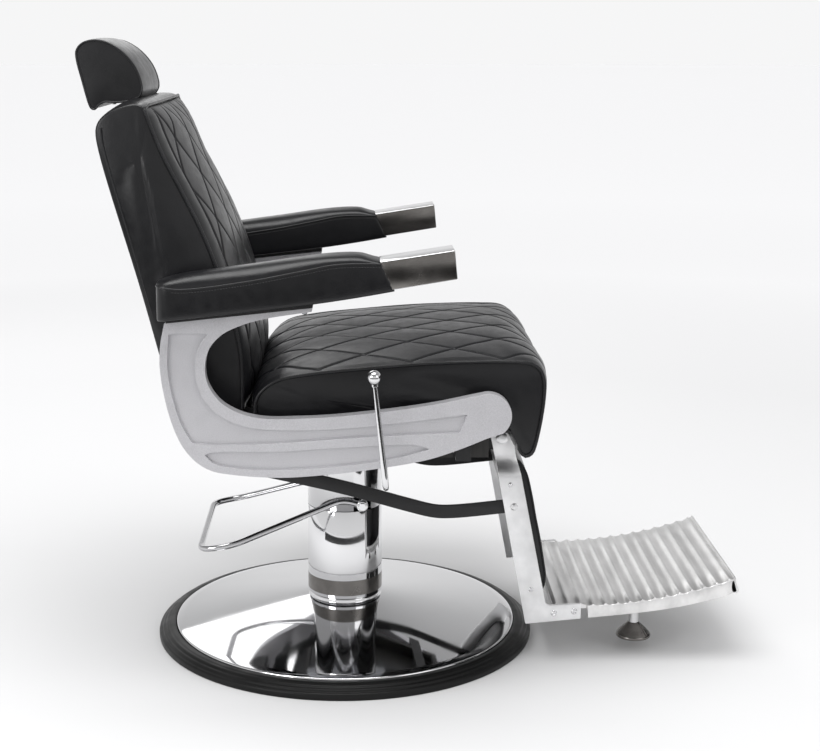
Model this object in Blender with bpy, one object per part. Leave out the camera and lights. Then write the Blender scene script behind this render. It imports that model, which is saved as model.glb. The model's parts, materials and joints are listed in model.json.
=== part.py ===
"""Hydraulic barber chair: a round base, a pump column, a reclining quilted seat and a footrest.

Frame: metres, +Z up, origin on the swivel axis at the floor. The sitter faces -Y, and the
sitter's left is +X. Side profiles are drawn as (forward, height) pairs and turned into
world points by world(), where forward is -Y.
"""

from math import atan2, cos, pi, radians, sin

import bmesh
import bpy
from mathutils import Matrix, Vector

# ---------------------------------------------------------------- driving dimensions
GAP = 0.0004                      # clearance left between touching pieces

BASE_R = 0.350                    # rubber ring, outer radius
PLATE_R = 0.318                   # steel plate and chrome cover
PLATE_T = 0.010
SLEEVE_R = 0.053                  # fixed inner sleeve, outer radius
COVER_R = 0.0694                  # moving column cover, outer radius
COVER_BOTTOM, COVER_SEAM, COLUMN_TOP = 0.076, 0.244, 0.374
RAM_R = 0.018

HALF_SEAT = 0.285                 # half width of the seat cushion
HALF_BACK = 0.252
CAST_OUT, CAST_IN = 0.345, 0.323  # side castings, outer and inner faces
ARM_MID, ARM_HALF = 0.344, 0.036  # armrest centre line and half width
LEG_OUT, LEG_IN = 0.183, 0.177    # footrest legs, lower strap
JOGGLE = 0.015                    # inward step of the upper strap
LINK_OUT, LINK_IN = 0.1764, 0.1706
CRANK_OUT, CRANK_IN = 0.1700, 0.1642

BACK_PIVOT = (-0.175, 0.445)      # recline axis, (forward, height)
CRANK_PIN = (-0.170, 0.360)       # rear end of the link bars
LEG_PIVOT = (0.278, 0.408)
LINK_PIN = (0.300, 0.287)         # front end of the link bars
PEDAL_PIVOT = (0.0325, 0.2636)
LEVER_PIVOT = (0.0705, 0.3745)

BACK_FOOT = (-0.259, 0.390)       # lower rear corner of the backrest
BACK_LEAN = radians(15.07)        # backrest and headrest post, from the vertical

SIDES = (("left", 1), ("right", -1))


# ---------------------------------------------------------------- small tools
def world(forward, height, x=0.0):
    return Vector((x, -forward, height))


def on_back(depth, rise):
    """A point of the backrest, from its lower rear corner: depth forwards, rise up the lean."""
    return (BACK_FOOT[0] + depth * cos(BACK_LEAN) - rise * sin(BACK_LEAN),
            BACK_FOOT[1] + depth * sin(BACK_LEAN) + rise * cos(BACK_LEAN))


def material(name, colour, roughness, metallic=0.0):
    made = bpy.data.materials.new(name)
    made.use_nodes = True
    shader = made.node_tree.nodes["Principled BSDF"]
    shader.inputs["Base Color"].default_value = (*colour, 1.0)
    shader.inputs["Roughness"].default_value = roughness
    shader.inputs["Metallic"].default_value = metallic
    return made


LOOKS = {
    "chrome": ((0.82, 0.82, 0.83), 0.06, 1.0),
    "cast": ((0.56, 0.56, 0.57), 0.42, 0.7),
    "brushed": ((0.66, 0.66, 0.66), 0.32, 1.0),
    "steel": ((0.42, 0.43, 0.45), 0.40, 1.0),
    "black_steel": ((0.025, 0.025, 0.027), 0.45, 0.0),
    "rubber": ((0.018, 0.018, 0.018), 0.62, 0.0),
    "leather": ((0.022, 0.022, 0.024), 0.38, 0.0),
    "board": ((0.45, 0.32, 0.19), 0.75, 0.0),
}


def finish_object(name, mesh, look, smooth=True):
    mesh.materials.append(material(name, *LOOKS[look]))
    if smooth:
        mesh.shade_smooth()
        mesh.set_sharp_from_angle(angle=radians(35))
    made = bpy.data.objects.new(name, mesh)
    bpy.context.collection.objects.link(made)
    return made


def mesh_from(bm, name):
    bmesh.ops.recalc_face_normals(bm, faces=bm.faces)
    mesh = bpy.data.meshes.new(name)
    bm.to_mesh(mesh)
    bm.free()
    return mesh


def evaluated(made):
    """Applies the modifiers, so that later steps work on plain meshes."""
    depsgraph = bpy.context.evaluated_depsgraph_get()
    mesh = bpy.data.meshes.new_from_object(made.evaluated_get(depsgraph))
    made.modifiers.clear()
    made.data = mesh
    return made


def bevelled(made, width, segments=2, angle=35):
    mod = made.modifiers.new("bevel", "BEVEL")
    mod.width = width
    mod.segments = segments
    mod.limit_method = "ANGLE"
    mod.angle_limit = radians(angle)
    return evaluated(made)


def combine(made, other, operation):
    """Boolean with a second object, which is used up."""
    mod = made.modifiers.new(operation, "BOOLEAN")
    mod.operation = operation
    mod.solver = "EXACT"
    mod.object = other
    evaluated(made)
    bpy.data.objects.remove(other, do_unlink=True)
    return made


def cut(made, *cutters):
    for cutter in cutters:
        combine(made, cutter, "DIFFERENCE")
    return made


def join(made, *others):
    for other in others:
        combine(made, other, "UNION")
    return made


def prism(name, outline, x_low, x_high, look="steel"):
    """A side profile of (forward, height) points, extruded along X."""
    bm = bmesh.new()
    face = bm.faces.new([bm.verts.new(world(f, h, x_low)) for f, h in outline])
    grown = bmesh.ops.extrude_face_region(bm, geom=[face])
    moved = [v for v in grown["geom"] if isinstance(v, bmesh.types.BMVert)]
    bmesh.ops.translate(bm, verts=moved, vec=(x_high - x_low, 0, 0))
    return finish_object(name, mesh_from(bm, name), look)


def box(name, low, high, look="steel"):
    bm = bmesh.new()
    bmesh.ops.create_cube(bm, size=1.0)
    low, high = Vector(low), Vector(high)
    bmesh.ops.scale(bm, verts=bm.verts, vec=high - low)
    bmesh.ops.translate(bm, verts=bm.verts, vec=(low + high) / 2)
    return finish_object(name, mesh_from(bm, name), look)


def revolve(name, profile, look, segments=48, centre=(0, 0, 0)):
    """A closed (radius, height) profile turned about a vertical axis."""
    bm = bmesh.new()
    rings = []
    for radius, height in profile:
        if radius < 1e-6:
            rings.append([bm.verts.new((0, 0, height))] * segments)
            continue
        rings.append([bm.verts.new((radius * cos(2 * pi * i / segments),
                                    radius * sin(2 * pi * i / segments), height))
                      for i in range(segments)])
    for ring, after in zip(rings, rings[1:] + rings[:1]):
        if ring[0] is ring[1] and after[0] is after[1]:
            continue
        for i in range(segments):
            j = (i + 1) % segments
            corners = []
            for vert in (ring[i], ring[j], after[j], after[i]):
                if vert not in corners:
                    corners.append(vert)
            bm.faces.new(corners)
    bmesh.ops.translate(bm, verts=bm.verts, vec=centre)
    return finish_object(name, mesh_from(bm, name), look)


def rod_x(name, pivot, radius, x_low, x_high, look="steel", segments=20):
    """A round bar along X, through the side-profile point pivot."""
    bm = bmesh.new()
    bmesh.ops.create_cone(bm, cap_ends=True, segments=segments, radius1=radius,
                          radius2=radius, depth=x_high - x_low)
    bmesh.ops.rotate(bm, verts=bm.verts, cent=(0, 0, 0),
                     matrix=Matrix.Rotation(radians(90), 3, "Y"))
    bmesh.ops.translate(bm, verts=bm.verts, vec=world(*pivot, (x_low + x_high) / 2))
    return finish_object(name, mesh_from(bm, name), look)


def bent_rod(name, points, radius, look, sides=3, cyclic=False):
    """A round rod along a smooth line through world points."""
    curve = bpy.data.curves.new(name, "CURVE")
    curve.dimensions = "3D"
    curve.bevel_depth = radius
    curve.bevel_resolution = sides
    curve.use_fill_caps = True
    line = curve.splines.new("POLY")
    line.points.add(len(points) - 1)
    for point, place in zip(line.points, points):
        point.co = (*place, 1.0)
    line.use_cyclic_u = cyclic
    made = bpy.data.objects.new(name, curve)
    bpy.context.collection.objects.link(made)
    depsgraph = bpy.context.evaluated_depsgraph_get()
    mesh = bpy.data.meshes.new_from_object(made.evaluated_get(depsgraph))
    bpy.data.objects.remove(made, do_unlink=True)
    bm = bmesh.new()
    bm.from_mesh(mesh)
    bmesh.ops.remove_doubles(bm, verts=bm.verts, dist=1e-5)
    mesh.materials.clear()
    return finish_object(name, mesh_from(bm, name), look)


def arc(centre, radius, start, end, steps):
    """Points of an arc in a side profile; angles in degrees, counter-clockwise from forward."""
    return [(centre[0] + radius * cos(radians(start + (end - start) * i / steps)),
             centre[1] + radius * sin(radians(start + (end - start) * i / steps)))
            for i in range(steps + 1)]


def rounded(corners, radius, steps=4):
    """A polyline or outline with its corners rounded; works in 2-D and 3-D, closed."""
    out = []
    count = len(corners)
    radii = radius if isinstance(radius, (list, tuple)) else [radius] * count
    for i, corner in enumerate(corners):
        here = Vector(corner)
        back = Vector(corners[i - 1]) - here
        ahead = Vector(corners[(i + 1) % count]) - here
        if radii[i] <= 0:
            out.append(tuple(here))
            continue
        reach = min(radii[i], back.length * 0.45, ahead.length * 0.45)
        first, last = here + back.normalized() * reach, here + ahead.normalized() * reach
        for k in range(steps + 1):
            t = k / steps
            out.append(tuple(first * (1 - t) ** 2 + here * 2 * t * (1 - t) + last * t * t))
    return out


def rounded_route(points, radius, steps=5):
    """The same rounding for an open route: its two ends stay where they are."""
    radii = [0] + [radius] * (len(points) - 2) + [0]
    return rounded(points, radii, steps)


def smooth_through(points, steps=4, closed=False):
    """A Catmull-Rom line through the points."""
    count = len(points)
    if closed:
        ring = [points[-1]] + list(points) + [points[0], points[1]]
        spans = count
    else:
        ring = [points[0]] + list(points) + [points[-1]]
        spans = count - 1
    out = []
    for i in range(spans):
        p0, p1, p2, p3 = (Vector(p) for p in ring[i:i + 4])
        for k in range(steps):
            t = k / steps
            out.append(tuple(0.5 * (2 * p1 + (p2 - p0) * t
                                    + (2 * p0 - 5 * p1 + 4 * p2 - p3) * t * t
                                    + (3 * p1 - p0 - 3 * p2 + p3) * t ** 3)))
    if not closed:
        out.append(tuple(points[-1]))
    return out


# ---------------------------------------------------------------- base and column
def dome_height(radius):
    """The chrome base cover: low at its rim, rising like a flat cone to a small collar."""
    share = (radius - 0.075) / (PLATE_R - 0.003 - 0.075)
    return 0.0665 - 0.0395 * max(share, 0.0) ** 0.97


def make_base():
    revolve("base_plate", [(0, 0), (PLATE_R, 0), (PLATE_R, PLATE_T), (0, PLATE_T)], "steel", 56)
    inner = PLATE_R + GAP
    revolve("rubber_ring", [(inner, 0), (BASE_R - 0.001, 0), (BASE_R, 0.002), (BASE_R, 0.009),
                            (0.3475, 0.0125), (0.3435, 0.0135), (0.3415, 0.0175),
                            (0.3370, 0.0185), (0.3345, 0.0220), (0.3240, 0.0235),
                            (inner, 0.0235)], "rubber", 56)
    thickness = 0.0016
    radii = [0.075 + (PLATE_R - 0.003 - 0.075) * i / 5 for i in range(6)]
    outside = [(SLEEVE_R + GAP, 0.0745), (SLEEVE_R + 0.006, 0.0745), (0.064, 0.0690)]
    outside += [(r, dome_height(r)) for r in radii]
    outside += [(PLATE_R - 0.0005, 0.0240), (PLATE_R - 0.0005, PLATE_T + GAP)]
    inside = [(PLATE_R - 0.0025, PLATE_T + GAP), (PLATE_R - 0.0025, 0.0225)]
    inside += [(r, dome_height(r) - thickness) for r in radii[::-2]]
    inside += [(SLEEVE_R + GAP, 0.0655)]
    revolve("dome_cover", outside + inside, "chrome", 56)

    flange_top = PLATE_T + 0.0084
    revolve("base_socket", [(RAM_R + GAP, PLATE_T + GAP), (0.085, PLATE_T + GAP),
                            (0.085, flange_top), (0.046, flange_top), (0.040, 0.030),
                            (0.038, 0.112), (RAM_R + GAP, 0.112)], "steel", 32)
    revolve("inner_sleeve", [(SLEEVE_R - 0.0025, flange_top + GAP), (SLEEVE_R, flange_top + GAP),
                             (SLEEVE_R, 0.240), (SLEEVE_R - 0.0025, 0.240)], "chrome", 48)
    revolve("thrust_bearing", [(RAM_R + 0.002, 0.1124), (0.037, 0.1124), (0.037, 0.1196),
                               (RAM_R + 0.002, 0.1196)], "steel", 32)
    revolve("ram_rod", [(0, 0.024), (RAM_R, 0.024), (RAM_R, 0.1200), (0.036, 0.1200),
                        (0.036, 0.1250), (RAM_R, 0.1250), (RAM_R, 0.345), (0, 0.345)],
            "chrome", 32)


def make_column():
    bore = RAM_R + GAP
    revolve("wiper_seal", [(bore, 0.1256), (0.0255, 0.1256), (0.0255, 0.1300), (bore, 0.1300)],
            "rubber", 32)
    revolve("pump_cylinder", [(0, 0.350), (bore + 0.002, 0.350), (bore + 0.002, 0.140),
                              (bore, 0.138), (bore, 0.1304), (0.026, 0.1304), (0.026, 0.360),
                              (0.062, 0.362), (0.062, COLUMN_TOP - GAP), (0, COLUMN_TOP - GAP)],
            "steel", 32)
    wall = 0.0015
    revolve("column_cover", [(COVER_R - wall, COVER_BOTTOM), (COVER_R - 0.0006, COVER_BOTTOM),
                             (COVER_R, COVER_BOTTOM + 0.002), (COVER_R, COVER_SEAM - 0.0008),
                             (COVER_R - wall, COVER_SEAM - 0.0008)], "chrome", 48)
    collar = revolve("column_collar", [(COVER_R - wall, COVER_SEAM), (COVER_R, COVER_SEAM),
                                       (COVER_R, COLUMN_TOP - GAP),
                                       (COVER_R - wall, COLUMN_TOP - GAP)], "chrome", 48)
    low = world(PEDAL_PIVOT[0] + 0.016, COVER_SEAM - 0.01, -0.1)
    high = world(PEDAL_PIVOT[0] - 0.016, PEDAL_PIVOT[1] + 0.014, 0.1)
    cut(collar, box("window", low, high))


def make_pump():
    forward, height = PEDAL_PIVOT
    shaft = rod_x("pedal_shaft", PEDAL_PIVOT, 0.0055, -0.0880, 0.0880, "steel")
    reach = 0.0155
    finger = prism("finger", [(forward - 0.002, height - 0.004), (forward + reach, height - 0.003),
                              (forward + reach, height + 0.0032), (forward - 0.002, height + 0.0032)],
                   -0.005, 0.005)
    join(shaft, finger)
    front = -(forward + reach)
    plunger_x_y = (0, front, 0)
    revolve("pump_plunger", [(0, 0.2675), (0.0085, 0.2675), (0.0085, 0.2705), (0.005, 0.2705),
                             (0.005, 0.325), (0, 0.325)], "chrome", 24, plunger_x_y)
    block = box("pump_block", (-0.016, -0.0585, 0.288), (0.016, -0.0270, 0.345), "steel")
    cut(block, revolve("bore", [(0, 0.280), (0.0054, 0.280), (0.0054, 0.336), (0, 0.336)],
                       "steel", 24, plunger_x_y))
    bevelled(block, 0.002, 1)
    turns, coil_r, start, end = 3.0, 0.0101, 0.2718, 0.2868
    steps = int(turns * 12)
    coil = [(coil_r * cos(2 * pi * turns * i / steps),
             front + coil_r * sin(2 * pi * turns * i / steps),
             start + (end - start) * i / steps) for i in range(steps + 1)]
    bent_rod("plunger_spring", coil, 0.0009, "steel", 1)


def make_pedal():
    """A bail that goes round the column, with an eye on each end of the cross shaft."""
    forward, height = PEDAL_PIVOT
    near = [(0.0945, -forward, height), (0.0935, 0.004, 0.2735), (0.153, 0.203, 0.2070),
            (0.134, 0.2590, 0.1995)]
    route = near + [(-x, y, z) for x, y, z in reversed(near)]
    corners = rounded_route(route, 0.034, 4)
    bail = bent_rod("pump_pedal", corners, 0.0058, "chrome", 2)
    for name, side in SIDES:
        eye = rod_x("eye", PEDAL_PIVOT, 0.0105, *sorted((side * 0.0885, side * 0.1005)))
        join(bail, eye)
    cut(bail, rod_x("drill", PEDAL_PIVOT, 0.0041, -0.13, 0.13))
    for name, side in SIDES:
        bolt = rod_x("pedal_bolt_" + name, PEDAL_PIVOT, 0.0037,
                     *sorted((side * 0.0884, side * 0.1010)))
        head = rod_x("head", PEDAL_PIVOT, 0.0075, *sorted((side * 0.1009, side * 0.1060)),
                     segments=6)
        join(bolt, head)


# ---------------------------------------------------------------- seat frame
def make_frame():
    plate_low, plate_high = COLUMN_TOP, COLUMN_TOP + 0.0085
    bevelled(box("seat_mount_plate", (-0.125, -0.100, plate_low), (0.125, 0.100, plate_high)),
             0.003, 1)
    rail_low, rail_high = plate_high + GAP, plate_high + 0.0255
    tube_low, tube_high = rail_high + GAP, rail_high + 0.0255
    for name, side in SIDES:
        x_low, x_high = sorted((side * 0.128, side * 0.153))
        box("frame_rail_" + name, (x_low, -0.278, rail_low), (x_high, 0.098, rail_high),
            "black_steel")
    for name, forward in (("front", 0.200), ("rear", -0.085)):
        box("cross_tube_" + name, (-CAST_IN + GAP, -forward - 0.0125, tube_low),
            (CAST_IN - GAP, -forward + 0.0125, tube_high), "black_steel")
    make_seat_pan(rail_high, tube_high)
    for name, side in SIDES:
        x_low, x_high = sorted((side * 0.1534, side * 0.1612))
        outline = rounded([(0.225, rail_high), (0.225, 0.396), (0.262, 0.388), (0.294, 0.388),
                           (0.298, 0.4135), (0.290, rail_high + 0.010), (0.225, rail_high + 0.010)],
                          0.006, 3)
        hanger = prism("leg_hanger_" + name, outline, x_low, x_high, "black_steel")
        cut(hanger, rod_x("drill", LEG_PIVOT, 0.0067, *sorted((side * 0.12, side * 0.2))))
        bolt = rod_x("leg_pivot_bolt_" + name, LEG_PIVOT, 0.0062,
                     *sorted((side * 0.1536, side * 0.1700)), "brushed")
        head = rod_x("head", LEG_PIVOT, 0.0105, *sorted((side * 0.1688, side * 0.1745)), segments=6)
        join(bolt, head)
    lever_bracket = prism("lever_bracket",
                          rounded([(0.040, rail_low - GAP), (0.058, 0.3640), (0.083, 0.3640),
                                   (0.101, rail_low - GAP)], 0.005, 3), -0.1530, -0.1470,
                          "black_steel")
    cut(lever_bracket, rod_x("drill", LEVER_PIVOT, 0.0054, -0.2, -0.1))


def make_seat_pan(rail_high, tube_high):
    """An open-bottomed tray under the cushion, notched where the frame passes through it."""
    rear, front, skirt = 0.109, -0.246, 0.402
    pan = box("seat_pan", (-0.275, front, skirt), (0.275, rear, tube_high + 0.0125), "board")
    cut(pan, box("inside", (-0.263, front + 0.012, skirt - 0.01),
                 (0.263, rear - 0.012, tube_high + GAP)))
    for forward in (0.200, -0.085):
        cut(pan, box("notch", (-0.3, -forward - 0.0135, skirt - 0.01),
                     (0.3, -forward + 0.0135, tube_high + GAP)))
    for side in (1, -1):
        x_low, x_high = sorted((side * 0.1270, side * 0.1622))
        cut(pan, box("rail_notch", (x_low, front - 0.01, skirt - 0.01),
                     (x_high, front + 0.02, rail_high + 0.0110)))


def casting_outline():
    """The C of a side casting: up behind the seat, along under it and round a nose in front."""
    outer = [(-0.290, 0.6455), (-0.297, 0.610), (-0.2985, 0.575), (-0.293, 0.530),
             (-0.279, 0.475), (-0.262, 0.438), (-0.240, 0.413), (-0.215, 0.399), (-0.180, 0.3925),
             (-0.104, 0.3875), (-0.004, 0.3945), (0.078, 0.4055), (0.141, 0.4175),
             (0.194, 0.4350), (0.238, 0.4530)]
    nose = arc((0.2405, 0.4905), 0.0375, -58, 100, 8)
    inner = [(0.205, 0.5215), (0.160, 0.5120), (0.096, 0.5020), (-0.004, 0.4910),
             (-0.070, 0.4875), (-0.133, 0.4880), (-0.170, 0.4970), (-0.202, 0.5170),
             (-0.2215, 0.5480), (-0.2245, 0.5780), (-0.2170, 0.6050), (-0.1960, 0.6280),
             (-0.165, 0.6430), (-0.130, 0.6530), (-0.050, 0.6655)]
    rear = smooth_through(outer, 2)
    front = smooth_through(inner, 2)
    return rear + nose + front + [(-0.048, 0.6740), (-0.287, 0.6490)]


def casting_recess(name, corners, radius, x_low, x_high):
    return prism(name, rounded(smooth_through(corners, 2, True), radius, 2), x_low, x_high)


def upper_recess():
    return [(-0.281, 0.622), (-0.283, 0.580), (-0.278, 0.530), (-0.262, 0.476), (-0.240, 0.446),
            (-0.200, 0.4440), (-0.100, 0.4470), (-0.004, 0.4530), (0.100, 0.4590), (0.192, 0.4625),
            (0.206, 0.4850), (0.196, 0.4930), (0.096, 0.4800), (-0.004, 0.4700),
            (-0.090, 0.4700), (-0.150, 0.4740), (-0.190, 0.4880), (-0.228, 0.5200),
            (-0.2400, 0.5600), (-0.2340, 0.6050), (-0.2150, 0.6270)]


def lower_recess():
    return [(-0.218, 0.4290), (-0.205, 0.4120), (-0.170, 0.4040), (-0.104, 0.4010),
            (-0.004, 0.4080), (0.078, 0.4190), (0.135, 0.4340), (0.130, 0.4400),
            (-0.004, 0.4370), (-0.104, 0.4330)]


def make_castings():
    for name, side in SIDES:
        x_low, x_high = sorted((side * CAST_OUT, side * CAST_IN))
        casting = prism("side_casting_" + name, casting_outline(), x_low, x_high, "cast")
        bevelled(casting, 0.003, 1, 40)
        depth = sorted((side * (CAST_OUT - 0.003), side * (CAST_OUT + 0.01)))
        cut(casting, casting_recess("upper", upper_recess(), 0.003, *depth),
            casting_recess("lower", lower_recess(), 0.003, *depth),
            rod_x("drill", BACK_PIVOT, 0.0084, *sorted((side * 0.310, side * 0.335))))


def arm_underside(forward):
    """Height of the armrest's lower face."""
    return 0.6885 + 0.118 * forward + 0.155 * max(forward + 0.13, 0.0) ** 2


def make_arms():
    pad_rear, pad_front = -0.300, 0.0825
    top = [(-0.300, 0.704), (-0.289, 0.722), (-0.255, 0.727), (-0.200, 0.732), (-0.120, 0.743),
           (-0.060, 0.753), (-0.010, 0.7585), (0.030, 0.7600), (0.0605, 0.7570)]
    under = [(pad_rear + (pad_front - pad_rear) * i / 8) for i in range(9)]
    for name, side in SIDES:
        x_low, x_high = side * ARM_MID - ARM_HALF, side * ARM_MID + ARM_HALF
        outline = top + [(f, arm_underside(f)) for f in reversed(under)]
        pad = prism("arm_pad_" + name, outline, x_low, x_high, "leather")
        bevelled(pad, 0.006, 2, 50)
        plate_top = [(f, arm_underside(f) - 0.0015) for f in (-0.048, -0.090, -0.130, -0.2855)]
        plate = plate_top + [(-0.2855, 0.6496), (-0.0480, 0.6746)]
        prism("arm_plate_" + name, plate, side * ARM_MID - 0.018, side * ARM_MID + 0.018,
              "black_steel")
        tip = prism("arm_tip_" + name,
                    [(0.0842, arm_underside(0.0842) + 0.0010), (0.1848, 0.7235),
                     (0.1804, 0.7705), (0.0645, 0.7520)], x_low + 0.0005, x_high - 0.0005, "chrome")
        bevelled(tip, 0.0015, 1)


def make_seat():
    """The seat cushion: level underside, crowned top, a front that rolls down like a waterfall."""
    bottom = 0.4475
    outline = [(-0.134, bottom + 0.004), (-0.1446, 0.470), (-0.1466, 0.501), (-0.1361, 0.523),
               (-0.1115, 0.5400), (-0.0593, 0.5510), (0.028, 0.5605), (0.1328, 0.5700),
               (0.2201, 0.5735), (0.2725, 0.5730), (0.3180, 0.5685), (0.3350, 0.5570),
               (0.3450, 0.5350), (0.3440, 0.4939), (0.3360, 0.4521), (0.3260, 0.4200),
               (0.3130, 0.4120), (0.3020, 0.4180), (0.2990, bottom)]
    seat = prism("seat_cushion", outline, -HALF_SEAT, HALF_SEAT, "leather")
    bevelled(seat, 0.010, 2, 60)


# ---------------------------------------------------------------- backrest
def back_prism(name, outline, x_low, x_high, look):
    return prism(name, [on_back(depth, rise) for depth, rise in outline], x_low, x_high, look)


def make_back():
    front = [(0.110, 0.075), (0.130, 0.110), (0.146, 0.212), (0.142, 0.300), (0.135, 0.375),
             (0.120, 0.450), (0.108, 0.512), (0.097, 0.575), (0.0885, 0.607)]
    board_rear, board_front = 0.0454, 0.0570
    shell_top, cushion_low = 0.6085, 0.060
    shell = back_prism("back_shell", [(0, 0.012), (0.010, 0.0), (0.045, 0.0), (0.045, shell_top),
                                      (0.020, shell_top - 0.004), (0.004, 0.592), (0, 0.580)],
                       -HALF_BACK, HALF_BACK, "leather")
    pocket = back_prism("pocket", [(0.0200, 0.330), (0.0380, 0.330), (0.0380, 0.65),
                                   (0.0200, 0.65)], -0.0275, 0.0275, "steel")
    cut(shell, pocket)
    back_prism("back_board", [(board_rear, 0.0225), (board_front, 0.0225),
                              (board_front, 0.600), (board_rear, 0.600)],
               -HALF_BACK + 0.012, HALF_BACK - 0.012, "board")
    cushion = back_prism("back_cushion", [(board_front + GAP, cushion_low), (0.100, cushion_low)]
                         + front + [(0.070, 0.6115), (board_front + GAP, 0.6105)],
                         -HALF_BACK, HALF_BACK, "leather")
    bevelled(cushion, 0.012, 2, 60)

    guide = back_prism("headrest_guide", [(0.0204, 0.3304), (0.0376, 0.3304), (0.0376, 0.604),
                                          (0.0204, 0.604)], -0.0270, 0.0270, "steel")
    hole = back_prism("hole", [(0.0233, 0.3400), (0.0347, 0.3400), (0.0347, 0.65),
                               (0.0233, 0.65)], -0.0210, 0.0210, "steel")
    cut(guide, hole)

    tube = rod_x("back_hinge_tube", BACK_PIVOT, 0.0125, -0.315, 0.315, "black_steel")
    cut(tube, rod_x("drill", BACK_PIVOT, 0.0085, -0.4, 0.4))
    rod_x("hinge_rod", BACK_PIVOT, 0.0080, -0.333, 0.333, "steel")
    for name, side in SIDES:
        x_low, x_high = sorted((side * CRANK_OUT, side * CRANK_IN))
        top = [on_back(0.0574, 0.0560), on_back(0.0574, 0.0230)]
        lobe = arc(CRANK_PIN, 0.015, 160, 375, 8)
        hub = arc(BACK_PIVOT, 0.024, -15, 62, 5)
        crank = prism("recline_crank_" + name, top + lobe + hub, x_low, x_high, "black_steel")
        cut(crank, rod_x("drill", BACK_PIVOT, 0.0129, *sorted((side * 0.15, side * 0.18))))
        join(crank, rod_x("stub", CRANK_PIN, 0.0060, *sorted((side * 0.1680, side * 0.1790))))


def make_headrest():
    back_prism("headrest_post", [(0.0237, 0.400), (0.0343, 0.400), (0.0343, 0.690),
                                 (0.0237, 0.690)], -0.0200, 0.0200, "chrome")
    outline = [(-0.0190, 0.6290), (-0.0180, 0.7090), (-0.0125, 0.7240), (0.0050, 0.7315),
               (0.0270, 0.7295), (0.0490, 0.7155), (0.0670, 0.6930), (0.0775, 0.6660),
               (0.0800, 0.6420), (0.0755, 0.6235), (0.0665, 0.6135), (0.0280, 0.6135),
               (0.0060, 0.6215), (-0.0060, 0.6185), (-0.0150, 0.6185)]
    cushion = back_prism("headrest_cushion", outline, -0.117, 0.117, "leather")
    bevelled(cushion, 0.008, 2, 60)
    cut(cushion, back_prism("pocket", [(0.0233, 0.600), (0.0347, 0.600), (0.0347, 0.6904),
                                       (0.0233, 0.6904)], -0.0204, 0.0204, "steel"))


def make_recline_controls():
    forward, height = LEVER_PIVOT
    ball = (0.051, 0.563)
    route = [world(ball[0], ball[1], -0.375), world(forward, height, -0.375),
             world(forward, height, -0.130)]
    bent_rod("recline_lever", rounded_route(route, 0.016, 5), 0.0050, "chrome", 2)
    bm = bmesh.new()
    bmesh.ops.create_uvsphere(bm, u_segments=20, v_segments=10, radius=0.0115)
    bmesh.ops.translate(bm, verts=bm.verts, vec=world(ball[0], ball[1] + 0.0002, -0.375))
    knob = finish_object("recline_knob", mesh_from(bm, "recline_knob"), "chrome")
    direction = (world(*ball) - world(forward, height)).normalized()
    slope = atan2(direction.y, direction.z)
    bm = bmesh.new()
    bmesh.ops.create_cone(bm, cap_ends=True, segments=20, radius1=0.0054, radius2=0.0054,
                          depth=0.03)
    bmesh.ops.rotate(bm, verts=bm.verts, cent=(0, 0, 0), matrix=Matrix.Rotation(-slope, 3, "X"))
    middle = world(ball[0], ball[1], -0.375) - direction * 0.0146
    bmesh.ops.translate(bm, verts=bm.verts, vec=middle)
    cut(knob, finish_object("drill", mesh_from(bm, "drill"), "steel"))


# ---------------------------------------------------------------- footrest
def make_legs():
    for name, side in SIDES:
        x_low, x_high = sorted((side * LEG_OUT, side * LEG_IN))
        eye = arc(LEG_PIVOT, 0.0200, 12, 168, 8)
        outline = eye + [(0.2695, 0.3600), (0.2730, 0.3355), (0.3228, 0.0708), (0.4218, 0.0800),
                         (0.4218, 0.1080), (0.3640, 0.1050), (0.3584, 0.1093), (0.3117, 0.3460),
                         (0.3043, 0.3720)]
        leg = prism("footrest_leg_" + name, outline, x_low, x_high, "brushed")
        bm = bmesh.new()
        bm.from_mesh(leg.data)
        for level in (0.345, 0.372):
            bmesh.ops.bisect_plane(bm, geom=bm.verts[:] + bm.edges[:] + bm.faces[:],
                                   plane_co=(0, 0, level), plane_no=(0, 0, 1))
        for vert in bm.verts:
            if vert.co.z > 0.371:
                vert.co.x -= side * JOGGLE
        bmesh.ops.triangulate(bm, faces=bm.faces)
        bm.to_mesh(leg.data)
        bm.free()
        cut(leg, rod_x("drill", LEG_PIVOT, 0.0067, *sorted((side * 0.14, side * 0.2))),
            rod_x("drill", LINK_PIN, 0.0054, *sorted((side * 0.14, side * 0.2))))
        rod_x("link_pin_" + name, LINK_PIN, 0.0050, *sorted((side * 0.1700, side * 0.1845)),
              "brushed")


def make_links():
    """Flat bars from the recline cranks to the legs, with a shallow bend near the front."""
    middle = [CRANK_PIN, (-0.0225, 0.3265), (0.059, 0.3045), (0.190, 0.2765), LINK_PIN]
    half = 0.012
    upper, lower = [], []
    for i, here in enumerate(middle):
        before, after = middle[max(i - 1, 0)], middle[min(i + 1, len(middle) - 1)]
        along = (Vector(after) - Vector(before)).normalized()
        across = Vector((-along.y, along.x)) * half
        upper.append(tuple(Vector(here) + across))
        lower.append(tuple(Vector(here) - across))
    rear_angle = -13.0
    front_angle = 5.5
    rear = arc(CRANK_PIN, half, 90 + rear_angle + 10, 270 + rear_angle - 10, 6)
    front = arc(LINK_PIN, half, -90 + front_angle + 10, 90 + front_angle - 10, 6)
    outline = upper[1:-1][::-1] + rear + lower[1:-1] + front
    for name, side in SIDES:
        x_low, x_high = sorted((side * LINK_OUT, side * LINK_IN))
        link = prism("link_bar_" + name, outline, x_low, x_high, "black_steel")
        cut(link, rod_x("drill", CRANK_PIN, 0.0078, *sorted((side * 0.16, side * 0.19))),
            rod_x("drill", LINK_PIN, 0.0054, *sorted((side * 0.16, side * 0.19))))


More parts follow.
